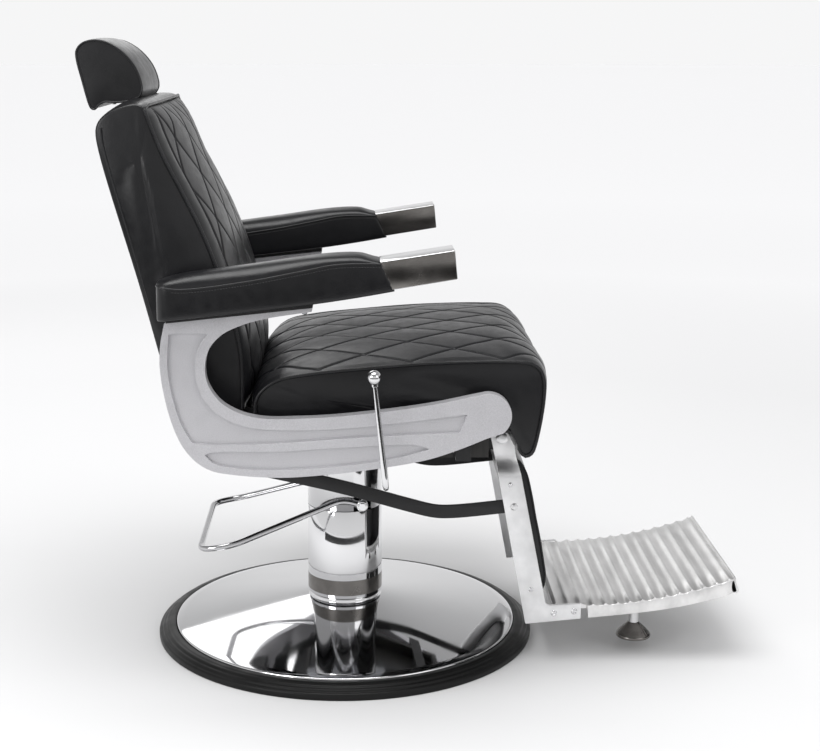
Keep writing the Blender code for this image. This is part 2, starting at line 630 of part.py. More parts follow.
def tray_top(forward):
    """Height of the footrest tray's rim: flat at the heel, curving up to the toes."""
    return 0.1080 + 0.60 * max(forward - 0.42, 0.0) ** 1.95


def make_footrest():
    rear, front, pitch = 0.372, 0.694, 0.0220
    steps = int(round((front - rear) / (pitch / 6)))
    places = [rear + (front - rear) * i / steps for i in range(steps + 1)]
    ridge = 0.0021
    top = [(f, tray_top(f) - 0.0035 + ridge * cos(2 * pi * (f - rear) / pitch)) for f in places]
    under = [(f, tray_top(f) - 0.0120) for f in places[::6]]
    if under[-1][0] < front - 1e-6:
        under.append((front, tray_top(front) - 0.0120))
    half = LEG_IN - 0.0008
    tray = prism("footrest_tray", top + under[::-1], -half, half, "brushed")
    rim_places = [0.4324 + (0.6961 - 0.4324) * i / 8 for i in range(9)]
    rim = [(f, tray_top(f)) for f in rim_places]
    rim += [(0.7036, 0.1285), (0.6733, 0.1190), (0.6287, 0.1075), (0.5692, 0.0958),
            (0.4977, 0.0870), (0.4324, 0.0811)]
    for side in (1, -1):
        join(tray, prism("rim", rim, *sorted((side * LEG_OUT, side * (LEG_IN - 0.004)))))
    lip = [(0.6900, tray_top(0.690) - 0.006), (0.6930, tray_top(0.693)), (0.6961, tray_top(0.6961)),
           (0.7036, 0.1285), (0.6960, 0.1255), (0.6900, 0.1300)]
    join(tray, prism("lip", lip, -LEG_OUT + 0.002, LEG_OUT - 0.002))
    heel = [(rear, tray_top(rear) - 0.011), (rear, 0.084), (rear + 0.006, 0.084),
            (rear + 0.006, tray_top(rear) - 0.011 + 0.004), (rear, tray_top(rear) - 0.007)]
    join(tray, prism("heel", heel, -half + 0.0005, half - 0.0005))
    for name, side in SIDES:
        stem_top = tray_top(0.528) - 0.0135
        revolve("tray_foot_" + name,
                [(0, 0.0226), (0.0295, 0.0226), (0.0315, 0.0260), (0.0310, 0.0300),
                 (0.0240, 0.0400), (0.0140, 0.0530), (0.0110, 0.0570), (0.0090, 0.0590),
                 (0.0090, stem_top), (0, stem_top)], "chrome", 20, (side * 0.117, -0.528, 0))
    pad = [(0.2790, 0.3400), (0.2905, 0.3640), (0.3080, 0.3670), (0.3250, 0.3420),
           (0.3350, 0.3060), (0.3440, 0.2580), (0.3515, 0.2219), (0.3595, 0.1709),
           (0.3612, 0.1561), (0.3580, 0.1304), (0.3480, 0.1200), (0.3340, 0.1230)]
    calf = prism("calf_pad", smooth_through(pad, 2, True), -0.160, 0.160, "leather")
    bevelled(calf, 0.006, 1, 60)


def main():
    for old in list(bpy.data.objects):
        bpy.data.objects.remove(old, do_unlink=True)
    make_base()
    make_column()
    make_pump()
    make_pedal()
    make_frame()
    make_castings()
    make_arms()
    make_seat()
    make_back()
    make_headrest()
    make_recline_controls()
    make_legs()
    make_links()
    make_footrest()


main()
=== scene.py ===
"""Looks for the hydraulic barber chair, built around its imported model.

Metres, +Z up. The sitter faces -Y and the sitter's left is +X. Side profiles are drawn as
(forward, height) pairs, where forward is -Y; backrest profiles as (depth, rise) pairs.
"""

import json
from math import atan2, ceil, cos, pi, radians, sin, sqrt

import bmesh
import bpy
import numpy as np
from mathutils import Matrix, Vector

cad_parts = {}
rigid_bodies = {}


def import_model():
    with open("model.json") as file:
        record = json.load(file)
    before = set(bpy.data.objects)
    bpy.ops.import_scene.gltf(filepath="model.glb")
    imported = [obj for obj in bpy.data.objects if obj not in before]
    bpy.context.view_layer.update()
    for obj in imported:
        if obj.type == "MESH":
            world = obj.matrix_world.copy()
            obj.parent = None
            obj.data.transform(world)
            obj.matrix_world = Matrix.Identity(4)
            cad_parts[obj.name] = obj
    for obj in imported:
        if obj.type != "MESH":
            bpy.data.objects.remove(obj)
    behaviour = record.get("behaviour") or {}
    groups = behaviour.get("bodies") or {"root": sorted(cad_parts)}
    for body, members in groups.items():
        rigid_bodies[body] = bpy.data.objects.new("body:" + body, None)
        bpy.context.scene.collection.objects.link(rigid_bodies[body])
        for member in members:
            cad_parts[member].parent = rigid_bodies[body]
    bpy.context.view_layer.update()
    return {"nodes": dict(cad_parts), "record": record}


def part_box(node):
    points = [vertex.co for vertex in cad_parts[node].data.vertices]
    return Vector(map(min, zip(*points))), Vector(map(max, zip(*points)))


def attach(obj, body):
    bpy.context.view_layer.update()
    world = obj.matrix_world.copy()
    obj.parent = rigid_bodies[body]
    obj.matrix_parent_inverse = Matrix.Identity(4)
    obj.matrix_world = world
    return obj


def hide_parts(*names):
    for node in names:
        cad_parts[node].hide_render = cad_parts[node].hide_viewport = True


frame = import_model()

SIDES = (("left", 1), ("right", -1))

BACK_FOOT = (-0.259, 0.39)
BACK_LEAN = radians(15.07)
CRANK_PIN = (-0.17, 0.36)
LEG_PIVOT = (0.278, 0.408)
LINK_PIN = (0.3, 0.287)
PEDAL_PIVOT = (0.0325, 0.2636)
LEVER_PIVOT = (0.0705, 0.3745)
LEG_OUT, HANGER_OUT = 0.183, 0.1688       # outer faces of the footrest legs and of their hangers
TRAY_REAR, TRAY_NOTCH, TRAY_FRONT = 0.372, 0.4324, 0.6961
TRAY_HALF, TRAY_REAR_HALF = 0.1828, 0.1762
QUILT_LONG, QUILT_WIDE = 0.155, 0.11     # full diagonals of one diamond
BACKDROP = 0.922
SKY_LIGHT = ((0.0, 0.55), (0.3, 0.8), (1.0, 1.5))             # (height, level)
SKY_SEEN = ((0.0, 0.8), (0.14, 0.75), (0.34, 0.58), (0.6, 0.36), (1.0, 0.24))
FLOOR_PAINT = ((0.0, 0.56), (0.115, 0.595), (0.236, 0.63), (0.46, 0.77), (0.8, 0.812))


def mm(*points):
    """Points given in millimetres, as metres."""
    return [tuple(value / 1000 for value in point) for point in points]


# ---- camera, light, stage
def make_camera():
    data = bpy.data.cameras.new("camera")
    data.lens = 69.37
    data.shift_x, data.shift_y = 0.04, -0.12
    camera = bpy.data.objects.new("camera", data)
    bpy.context.collection.objects.link(camera)
    camera.location = (-2.8741, -0.0246, 1.1089)
    camera.rotation_euler = (radians(90 - 8.689), 0, radians(-90 - 0.72))
    bpy.context.scene.camera = camera


def area_light(name, place, target, size, power):
    data = bpy.data.lights.new(name, "AREA")
    data.shape = "RECTANGLE"
    data.size, data.size_y = size
    data.energy = power
    light = bpy.data.objects.new(name, data)
    light.location = place
    light.rotation_euler = (Vector(target) - Vector(place)).to_track_quat("-Z", "Y").to_euler()
    light.visible_camera = False
    bpy.context.collection.objects.link(light)


def fill_ramp(ramp, stops):
    while len(ramp.color_ramp.elements) < len(stops):
        ramp.color_ramp.elements.new(0.5)
    for element, (place, level) in zip(ramp.color_ramp.elements, stops):
        element.position = place
        element.color = (level, level, level * 1.005, 1)


def studio_sky():
    """An even pale backdrop, lit from overhead, that glossy surfaces see darken upward."""
    world = bpy.data.worlds.new("studio")
    bpy.context.scene.world = world
    world.use_nodes = True
    tree = world.node_tree
    place, split, path, light, seen, glossy, camera = (
        tree.nodes.new("ShaderNode" + kind) for kind in
        ("TexCoord", "SeparateXYZ", "LightPath", "ValToRGB", "ValToRGB", "Mix", "Mix"))
    fill_ramp(light, SKY_LIGHT)
    fill_ramp(seen, SKY_SEEN)
    glossy.data_type = camera.data_type = "RGBA"
    camera.inputs[7].default_value = (BACKDROP, BACKDROP, BACKDROP * 1.004, 1)
    for source, target in (
            (place.outputs["Generated"], split.inputs["Vector"]),
            (split.outputs["Z"], light.inputs["Fac"]),
            (split.outputs["Z"], seen.inputs["Fac"]),
            (path.outputs["Is Glossy Ray"], glossy.inputs[0]),
            (light.outputs["Color"], glossy.inputs[6]),
            (seen.outputs["Color"], glossy.inputs[7]),
            (path.outputs["Is Camera Ray"], camera.inputs[0]),
            (glossy.outputs[2], camera.inputs[6]),
            (camera.outputs[2], tree.nodes["Background"].inputs["Color"])):
        tree.links.new(source, target)


def reflection_cards():
    """Black cards that only glossy surfaces see: floor at the chair's right, a flag in front."""
    bm = bmesh.new()
    for low, high, near, far, top in ((118, 242, 1.95, 9.0, 0.02), (250, 306, 2.1, 2.1, 1.0)):
        rows = [[], []]
        for i in range(49):
            angle = radians(low + (high - low) * i / 48)
            for row, radius, z in zip(rows, (near, far), (0.02, top)):
                row.append(bm.verts.new((radius * cos(angle), radius * sin(angle), z)))
        bridge_rows(bm, rows, False)
    LOOK["card"] = plain_material("card_paint", (0.004, 0.004, 0.004), 1.0)
    cards = add_object("black_cards", bm, "card")
    cards.visible_camera = cards.visible_diffuse = cards.visible_shadow = False
    cards.visible_transmission = False


def floor_material():
    """A pale floor, a little greyer where the lamps are nearest, so it looks even."""
    look = Shader("floor_paint", (0.7, 0.7, 0.7), 0.9, Specular_IOR_Level=0.1)
    reach = look.node("VectorMath")
    reach.operation = "LENGTH"
    look.link(look.place, reach.inputs[0])
    share = look.between(reach.outputs["Value"], 0, 1, 0, 10)
    paint = look.node("ValToRGB")
    fill_ramp(paint, FLOOR_PAINT)
    look.link(share, paint.inputs["Fac"])
    look.link(paint.outputs["Color"], look.shader.inputs["Base Color"])
    look.bump((look.pattern(40), 0.02, 0.001))
    return look.material


def make_stage():
    studio_sky()
    for name, place, target, size, power in (
            ("overhead", (-0.6, 0.2, 2.8), (0, 0, 0.5), (2.0, 1.4), 50),
            ("window", (-2.4, 2.2, 1.5), (0, 0.2, 0.7), (1.2, 1.4), 26),
            ("front_fill", (-2.4, -2.6, 1.9), (0, 0, 0.5), (1.5, 1.8), 10),
            ("rear_fill", (2.6, 1.0, 2.2), (0, 0, 0.5), (1.8, 1.8), 12)):
        area_light(name, place, target, size, power)
    bm = bmesh.new()
    bmesh.ops.create_circle(bm, cap_ends=True, segments=96, radius=60)
    LOOK["floor"] = floor_material()
    add_object("floor", bm, "floor")
    bpy.context.scene.view_settings.view_transform = "Standard"
    reflection_cards()


# ---- materials
class Shader:
    """A Principled material, with small helpers that add the nodes behind it."""

    def __init__(self, name, colour, roughness, metallic=0.0, **sockets):
        self.material = bpy.data.materials.new(name)
        self.material.use_nodes = True
        self.tree = self.material.node_tree
        self.shader = self.tree.nodes["Principled BSDF"]
        self.colour = colour
        self.fill(self.shader, Base_Color=(*colour, 1), Roughness=roughness, Metallic=metallic,
                  **sockets)
        self.place = self.node("TexCoord").outputs["Object"]

    def fill(self, node, **values):
        for label, value in values.items():
            node.inputs[label.replace("_", " ")].default_value = value
        return node

    def node(self, kind, **values):
        return self.fill(self.tree.nodes.new("ShaderNode" + kind), **values)

    def link(self, source, target):
        self.tree.links.new(source, target)

    def pattern(self, scale, detail=3):
        """Noise, stretched where there are three scales, or round cells without detail."""
        if not detail:
            made = self.node("TexVoronoi", Scale=scale)
            self.link(self.place, made.inputs["Vector"])
            return made.outputs["Distance"]
        place = self.place
        if isinstance(scale, tuple):
            mapping = self.node("Mapping", Scale=scale)
            self.link(self.place, mapping.inputs["Vector"])
            place, scale = mapping.outputs["Vector"], 1
        made = self.node("TexNoise", Scale=scale, Detail=detail)
        self.link(place, made.inputs["Vector"])
        return made.outputs["Fac"]

    def between(self, value, low, high, start=0.3, end=0.7):
        made = self.node("MapRange", From_Min=start, From_Max=end, To_Min=low, To_Max=high)
        self.link(value, made.inputs["Value"])
        return made.outputs["Result"]

    def colours(self, value, dark, light):
        mix = self.node("Mix")
        mix.data_type = "RGBA"
        mix.inputs[6].default_value = (*[c * dark for c in self.colour], 1)
        mix.inputs[7].default_value = (*[min(c * light, 1) for c in self.colour], 1)
        self.link(value, mix.inputs[0])
        self.link(mix.outputs[2], self.shader.inputs["Base Color"])

    def roughness(self, value):
        self.link(value, self.shader.inputs["Roughness"])

    def bump(self, *layers):
        """Layers of (height, strength, depth in metres), one after another."""
        normal = None
        for height, strength, depth in layers:
            made = self.node("Bump", Strength=strength, Distance=depth)
            self.link(height, made.inputs["Height"])
            if normal is not None:
                self.link(normal, made.inputs["Normal"])
            normal = made.outputs["Normal"]
        self.link(normal, self.shader.inputs["Normal"])


def plain_material(name, colour, roughness):
    look = Shader(name, colour, roughness)
    look.bump((look.pattern(40), 0.05, 0.001))
    return look.material


def leather_material():
    look = Shader("black_leather", (0.0034, 0.0034, 0.0043), 0.31, Specular_IOR_Level=0.42)
    look.colours(look.between(look.pattern(9), 0, 1), 0.75, 1.35)
    look.roughness(look.between(look.pattern(55, 4), 0.28, 0.38))
    grain = look.between(look.pattern(620, 0), 0, 1, 0.0, 0.75)
    look.bump((look.pattern(26, 2), 0.12, 0.003), (look.pattern(380, 3), 0.14, 0.0006),
              (grain, 0.16, 0.0004))
    return look.material


def patterned_material(name, colour, roughness, metallic, specular, mottle, polish, bumps):
    """Mottling and polish are (pattern, low, high), bumps (pattern, strength, depth).

    A pattern is (scale, detail). Three scales stretch its noise, and no detail makes cells.
    """
    look = Shader(name, colour, roughness, metallic, Specular_IOR_Level=specular)
    pattern, dark, light, *span = mottle
    look.colours(look.between(look.pattern(*pattern), 0, 1, *span), dark, light)
    pattern, smooth, rough = polish
    look.roughness(look.between(look.pattern(*pattern), smooth, rough))
    look.bump(*[(look.pattern(*pattern), strength, depth) for pattern, strength, depth in bumps])
    return look.material


STREAKS, STAINS = ((60, 1500, 60), 3), ((7, 30, 20), 4)
TURNED, RINGS = ((120, 120, 2200), 3), ((18, 140, 18), 5)
PATTERNED = {
    "piping": ("piping_leather", (0.008, 0.008, 0.009), 0.33, 0, 0.4,
               ((25, 3), 0.75, 1.35), ((110, 3), 0.27, 0.42), [((700, 0), 0.2, 0.0003)]),
    "thread": ("black_thread", (0.03, 0.03, 0.032), 0.6, 0, 0.5,
               ((200, 3), 0.7, 1.5), ((500, 3), 0.5, 0.75), [((2400, 3), 0.4, 0.0002)]),
    "chrome": ("chrome", (0.77, 0.77, 0.78), 0.05, 1, 0.5,
               ((5, 3), 0.96, 1.03), ((14, 5), 0.03, 0.085), [((11, 2), 0.03, 0.001)]),
    # painted shade: a darker copy of chrome for the pedal bail, so its reflections of the pale floor
    # come out dimmer
    "rod": ("rod_chrome_painted_darker", (0.56, 0.56, 0.57), 0.08, 1, 0.5,
            ((8, 3), 0.9, 1.1), ((20, 5), 0.06, 0.13), [((11, 2), 0.03, 0.001)]),
    # painted dark reflection: a darker copy of chrome for chrome parts where they mirror the dark
    # chair, on the arm tips' sides, the column band and the tray feet
    "painted_dark_chrome": ("chrome_painted_dark_reflection", (0.2, 0.19, 0.18), 0.22, 1, 0.5,
               ((22, 3), 0.85, 1.2, 0.35, 0.65), ((30, 4), 0.18, 0.28),
               [((14, 2), 0.05, 0.001)]),
    "cast": ("cast_silver", (0.54, 0.535, 0.555), 0.38, 0.55, 0.5,
             ((900, 2), 0.88, 1.1), ((30, 4), 0.34, 0.47),
             [((16, 2), 0.06, 0.002), ((1100, 3), 0.22, 0.0003)]),
    "brushed": ("brushed_aluminium", (0.86, 0.86, 0.865), 0.36, 1, 0.5,
                ((22, 3), 0.84, 1.06), (STREAKS, 0.3, 0.46),
                [(STREAKS, 0.08, 0.0002), ((900, 3), 0.05, 0.0002)]),
    "tray": ("polished_tray", (0.84, 0.835, 0.83), 0.34, 1, 0.5,
             (STAINS, 0.82, 1.03, 0.34, 0.6), ((45, 4), 0.32, 0.42),
             [((38, 2), 0.03, 0.001), ((650, 3), 0.04, 0.0002)]),
    "rubber": ("black_rubber", (0.0032, 0.0032, 0.0032), 0.36, 0, 0.26,
               ((8, 4), 0.7, 1.6), ((25, 4), 0.32, 0.48), [((500, 3), 0.15, 0.0003)]),
    "black": ("black_steel", (0.01, 0.01, 0.0105), 0.42, 0, 0.4,
              ((14, 4), 0.8, 1.4), ((35, 4), 0.36, 0.52), [((650, 3), 0.16, 0.0003)]),
    "steel": ("machined_steel", (0.42, 0.43, 0.45), 0.38, 1, 0.5,
              ((18, 4), 0.82, 1.08), (TURNED, 0.3, 0.5), [(TURNED, 0.12, 0.0002)]),
    "board": ("stained_board", (0.016, 0.015, 0.014), 0.62, 0, 0.5,
              (RINGS, 0.6, 1.8), (RINGS, 0.52, 0.72), [(RINGS, 0.25, 0.0004)]),
}
LOOK = {}


def make_materials():
    LOOK["leather"] = leather_material()
    for key, values in PATTERNED.items():
        LOOK[key] = patterned_material(*values)


# ---- geometry tools
def world(forward, height, x=0.0):
    return Vector((x, -forward, height))


def on_back(depth, rise):
    return (BACK_FOOT[0] + depth * cos(BACK_LEAN) - rise * sin(BACK_LEAN),
            BACK_FOOT[1] + depth * sin(BACK_LEAN) + rise * cos(BACK_LEAN))


def add_object(name, bm, look, smooth=40):
    bmesh.ops.recalc_face_normals(bm, faces=bm.faces)
    mesh = bpy.data.meshes.new(name)
    bm.to_mesh(mesh)
    bm.free()
    mesh.materials.append(LOOK[look])
    mesh.shade_smooth()
    if smooth:
        mesh.set_sharp_from_angle(angle=radians(smooth))
    made = bpy.data.objects.new(name, mesh)
    bpy.context.collection.objects.link(made)
    return made


def piece(made, body, replaced=()):
    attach(made, body)
    if replaced:
        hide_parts(*replaced)
    return made


def applied(made):
    depsgraph = bpy.context.evaluated_depsgraph_get()
    mesh = bpy.data.meshes.new_from_object(made.evaluated_get(depsgraph))
    made.modifiers.clear()
    made.data = mesh
    return made


def bevel(made, width, segments=3, angle=30):
    mod = made.modifiers.new("bevel", "BEVEL")
    mod.width = width
    mod.segments = segments
    mod.limit_method = "ANGLE"
    mod.angle_limit = radians(angle)
    mod.harden_normals = False
    return made


def flattened(made):
    """Keep the large flat faces flat, so the shading turns only at the rounded edges."""
    mod = made.modifiers.new("weigh", "WEIGHTED_NORMAL")
    mod.keep_sharp = True
    return applied(made)


def edged(made, width, segments=3, angle=30, sharp=35):
    return resharpen(applied(bevel(made, width, segments, angle)), sharp)


def boolean(made, other):
    mod = made.modifiers.new("cut", "BOOLEAN")
    mod.operation = "DIFFERENCE"
    mod.object = other
    applied(made)
    bpy.data.objects.remove(other, do_unlink=True)
    return made


def resharpen(made, angle=35):
    made.data.shade_smooth()
    made.data.set_sharp_from_angle(angle=radians(angle))
    return made


def smooth_line(points, spacing, closed=False):
    """A Catmull-Rom line through the points, resampled at an even spacing."""
    pts = [Vector(p) for p in points]
    ring = [pts[-1], *pts, pts[0], pts[1]] if closed else [pts[0] * 2 - pts[1], *pts,
                                                           pts[-1] * 2 - pts[-2]]
    fine = []
    for p0, p1, p2, p3 in zip(ring, ring[1:], ring[2:], ring[3:]):
        t1 = max((p1 - p0).length, 1e-9) ** 0.5
        t2 = t1 + max((p2 - p1).length, 1e-9) ** 0.5
        t3 = t2 + max((p3 - p2).length, 1e-9) ** 0.5
        for k in range(24):
            t = t1 + (t2 - t1) * k / 24
            a1 = p0 * ((t1 - t) / t1) + p1 * (t / t1)
            a2 = p1 * ((t2 - t) / (t2 - t1)) + p2 * ((t - t1) / (t2 - t1))
            a3 = p2 * ((t3 - t) / (t3 - t2)) + p3 * ((t - t2) / (t3 - t2))
            b1 = a1 * ((t2 - t) / t2) + a2 * (t / t2)
            b2 = a2 * ((t3 - t) / (t3 - t1)) + a3 * ((t - t1) / (t3 - t1))
            fine.append(b1 * ((t2 - t) / (t2 - t1)) + b2 * ((t - t1) / (t2 - t1)))
    fine.append(pts[0].copy() if closed else pts[-1].copy())
    return resample(fine, spacing, closed)


def resample(points, spacing, closed=False):
    steps = np.array([(b - a).length for a, b in zip(points, points[1:])])
    along = np.concatenate([[0], np.cumsum(steps)])
    count = max(int(ceil(along[-1] / spacing)), 3)
    where = np.linspace(0, along[-1], count + 1)
    flat = np.array([tuple(p) for p in points])
    out = np.stack([np.interp(where, along, flat[:, c]) for c in range(flat.shape[1])], 1)
    return [Vector(p) for p in (out[:-1] if closed else out)]


def rounded(corners, radius, steps=6, closed=True):
    out, count = [], len(corners)
    for i, corner in enumerate(corners):
        here = Vector(corner)
        if not closed and i in (0, count - 1):
            out.append(here)
            continue
        back = Vector(corners[i - 1]) - here
        ahead = Vector(corners[(i + 1) % count]) - here
        reach = min(radius, back.length * 0.48, ahead.length * 0.48)
        first, last = here + back.normalized() * reach, here + ahead.normalized() * reach
        for k in range(steps + 1):
            t = k / steps
            out.append(first * (1 - t) ** 2 + here * 2 * t * (1 - t) + last * t * t)
    return out


def arc(centre, radius, start, end, steps):
    return [(centre[0] + radius * cos(radians(start + (end - start) * i / steps)),
             centre[1] + radius * sin(radians(start + (end - start) * i / steps)))
            for i in range(steps + 1)]


def prism(name, outline, x_one, x_other, look):
    x_low, x_high = sorted((x_one, x_other))
    bm = bmesh.new()
    face = bm.faces.new([bm.verts.new(world(p[0], p[1], x_low)) for p in outline])
    grown = bmesh.ops.extrude_face_region(bm, geom=[face])
    bmesh.ops.translate(bm, vec=(x_high - x_low, 0, 0),
                        verts=[v for v in grown["geom"] if isinstance(v, bmesh.types.BMVert)])
    return add_object(name, bm, look)


def lathe(name, profile, look, segments=128, centre=(0, 0, 0), axis="Z"):
    """A closed (radius, height) profile turned about an axis through centre."""
    bm = bmesh.new()
    rings = []
    for radius, height in profile:
        if radius < 1e-6:
            rings.append([bm.verts.new((0, 0, height))] * segments)
        else:
            rings.append([bm.verts.new((radius * cos(2 * pi * i / segments),
                                        radius * sin(2 * pi * i / segments), height))
                          for i in range(segments)])
    for ring, after in zip(rings, rings[1:] + rings[:1]):
        if ring[0] is ring[1] and after[0] is after[1]:
            continue
        for i in range(segments):
            j = (i + 1) % segments
            corners = []
            for vert in (ring[i], ring[j], after[j], after[i]):
                if vert not in corners:
                    corners.append(vert)
            bm.faces.new(corners)
    turn = Matrix.Rotation(radians(90 if axis == "X" else 0), 3, "Y")
    bmesh.ops.transform(bm, matrix=Matrix.Translation(centre) @ turn.to_4x4(), verts=bm.verts)
    return add_object(name, bm, look)


def tube(name, points, radius, look, sides=16, closed=False, radii=None):
    """A round tube along a line of points, with flat ends."""
    pts = [Vector(p) for p in points]
    count = len(pts)
    bm = bmesh.new()
    rings, side = [], None
    for i, here in enumerate(pts):
        before = pts[i - 1] if closed or i else here
        after = pts[(i + 1) % count] if closed or i < count - 1 else here
        along = (after - before).normalized()
        if side is None:
            side = along.orthogonal().normalized()
        side = (side - along * side.dot(along)).normalized()
        up = along.cross(side)
        r = radii[i] if radii else radius
        rings.append([bm.verts.new(here + (side * cos(2 * pi * k / sides)
                                           + up * sin(2 * pi * k / sides)) * r)
                      for k in range(sides)])
    pairs = list(zip(rings, rings[1:] + ([rings[0]] if closed else [])))
    shift = 0
    for n, (ring, after) in enumerate(pairs):
        if closed and n == len(pairs) - 1:
            shift = min(range(sides), key=lambda s: (after[s].co - ring[0].co).length)
        for k in range(sides):
            m = (k + 1) % sides
            bm.faces.new((ring[k], ring[m], after[(m + shift) % sides], after[(k + shift) % sides]))
    if not closed:
        bm.faces.new(rings[0])
        bm.faces.new(rings[-1])
    return add_object(name, bm, look)


def bridge_rows(bm, rows, wrap):
    for row, after in zip(rows, rows[1:]):
        last = len(row) if wrap else len(row) - 1
        for i in range(last):
            j = (i + 1) % len(row)
            bm.faces.new((row[i], row[j], after[j], after[i]))


def close_rows(bm, rows):
    """A skin through rings of vertices, with a flat face at each end."""
    bridge_rows(bm, rows, True)
    bm.faces.new(rows[0])
    bm.faces.new(rows[-1])


# ---- padded pieces
def slab(name, profile, half, place, crown, rings=5, cell=0.009, bulge=0.004):
    """A cushion of one side profile swept across its width, with a side panel on each end.

    profile is a closed loop of 2-D points at an even spacing. crown(i, point, across) says
    how far the sheet stands off the profile at a fraction across of -1 to 1. The seam round
    each side panel is creased, and the vertices on it are in the group "seam".
    """
    count = len(profile)
    steps = [profile[(i + 1) % count] - profile[i - 1] for i in range(count)]
    outward = [Vector((step.y, -step.x)).normalized() for step in steps]
    if sum(a.x * b.y - b.x * a.y for a, b in zip(profile, profile[1:] + profile[:1])) < 0:
        outward = [-direction for direction in outward]
    bm = bmesh.new()
    rest = bm.verts.layers.float_vector.new("rest")
    lengths = distances(profile)

    def add_row(points, x, across, sheet):
        row = [bm.verts.new(place(point, x)) for point in points]
        for vert, length in zip(row, lengths):
            vert[rest] = (length, across, sheet)
        return row

    rows = []
    columns = max(int(round(2 * half / cell)), 4)
    for j in range(columns + 1):
        across = -1 + 2 * j / columns
        crowned = [p + outward[i] * crown(i, p, across) for i, p in enumerate(profile)]
        rows.append(add_row(crowned, across * half, across * half, 1.0))
    bridge_rows(bm, rows, True)
    spine = principal_spine(profile)
    for ring, side in ((rows[0], -1), (rows[-1], 1)):
        for k in range(1, rings + 1):
            t = k / (rings + 0.6)
            out = half + bulge * sqrt(max(1 - (1 - t) ** 2, 0))
            shrunk = [p.lerp(nearest_on(spine, p), t) for p in profile]
            inner = add_row(shrunk, side * out, side * half, 0.0)
            bridge_rows(bm, [ring, inner], True)
            ring = inner
        cap_ring(bm, ring)
    seam = {*rows[0], *rows[-1]}
    return seamed(name, bm, seam, [seam], 1.0)


def seamed(name, bm, pinned, seams, sharpness):
    """Turns rows of vertices into a leather piece with its seams creased and held."""
    crease = bm.edges.layers.float.new("crease_edge")
    for edge in bm.edges:
        if any(seam.issuperset(edge.verts) for seam in seams):
            edge[crease] = sharpness
    bm.verts.index_update()
    indices = sorted({vert.index for vert in pinned})
    made = add_object(name, bm, "leather", 0)
    made.vertex_groups.new(name="seam").add(indices, 1.0, "REPLACE")
    return made


def distances(profile):
    """How far along a profile each of its points is."""
    return np.cumsum([0] + [(b - a).length for a, b in zip(profile, profile[1:])])


def closest(profile, point):
    return min(range(len(profile)), key=lambda i: (profile[i] - Vector(point)).length)


def cap_ring(bm, ring):
    """Closes the last ring of a side panel across its spine, pairing points that face."""
    count = len(ring)
    i, j = 0, count - 1
    while j - i > 1:
        corners = [ring[i], ring[i + 1], ring[j - 1], ring[j]]
        if ring[i + 1] is ring[j - 1]:
            corners = [ring[i], ring[i + 1], ring[j]]
        bm.faces.new(corners)
        i, j = i + 1, j - 1


def principal_spine(profile):
    """A short straight line inside a loop, along its longer direction."""
    centre = sum(profile, Vector((0, 0))) / len(profile)
    flat = np.array([tuple(p - centre) for p in profile])
    vectors = np.linalg.eigh(flat.T @ flat)[1]
    long = Vector(vectors[:, 1])
    reach = np.abs(flat @ vectors[:, 1]).max()
    thin = np.abs(flat @ vectors[:, 0]).max()
    inner = max(reach - thin * 1.25, reach * 0.12)
    return centre - long * inner, centre + long * inner


def nearest_on(line, point):
    a, b = line
    t = max(0.0, min(1.0, (point - a).dot(b - a) / (b - a).length_squared))
    return a.lerp(b, t)


def inflate(made, pressure, cap, frames=14, stiffness=18.0):
    """Fills a cushion with air by cloth simulation, with its seams held, then freezes it."""
    mesh = made.data
    start = coordinates(mesh)
    mod = made.modifiers.new("cloth", "CLOTH")
    cloth = mod.settings
    for label, value in dict(
            quality=4, mass=0.35, tension_stiffness=stiffness, compression_stiffness=stiffness,
            shear_stiffness=stiffness / 2, bending_stiffness=1.2, air_damping=4,
            use_pressure=True, uniform_pressure_force=pressure, vertex_group_mass="seam").items():
        setattr(cloth, label, value)
    cloth.effector_weights.gravity = 0.0
    mod.collision_settings.use_collision = False
    mod.collision_settings.use_self_collision = False
    mod.point_cache.frame_start, mod.point_cache.frame_end = 1, frames
    scene = bpy.context.scene
    for step in range(1, frames + 1):
        scene.frame_set(step)
    shaped = made.evaluated_get(bpy.context.evaluated_depsgraph_get()).to_mesh()
    moved = coordinates(shaped) - start
    made.modifiers.clear()
    scene.frame_set(1)
    length = np.linalg.norm(moved, axis=1, keepdims=True)
    moved *= np.minimum(1.0, cap / np.maximum(length, 1e-9))
    mesh.vertices.foreach_set("co", (start + moved).ravel())
    mesh.update()


def coordinates(mesh):
    flat = np.empty(len(mesh.vertices) * 3, np.float32)
    mesh.vertices.foreach_get("co", flat)
    return flat.reshape(-1, 3)


def rest_values(mesh):
    flat = np.empty(len(mesh.vertices) * 3, np.float32)
    mesh.attributes["rest"].data.foreach_get("vector", flat)
    return flat.reshape(-1, 3)


def subdivide(made, levels):
    mod = made.modifiers.new("subdivision", "SUBSURF")
    mod.levels = mod.render_levels = levels
    return applied(made)


def push_out(made, amount):
    """Moves each vertex along its normal by amount(rest coordinates), in metres."""
    mesh = made.data
    flat = np.empty(len(mesh.vertices) * 3, np.float32)
    mesh.vertex_normals.foreach_get("vector", flat)
    moved = coordinates(mesh) + flat.reshape(-1, 3) * amount(rest_values(mesh))[:, None]
    mesh.vertices.foreach_set("co", moved.ravel())
    mesh.update()


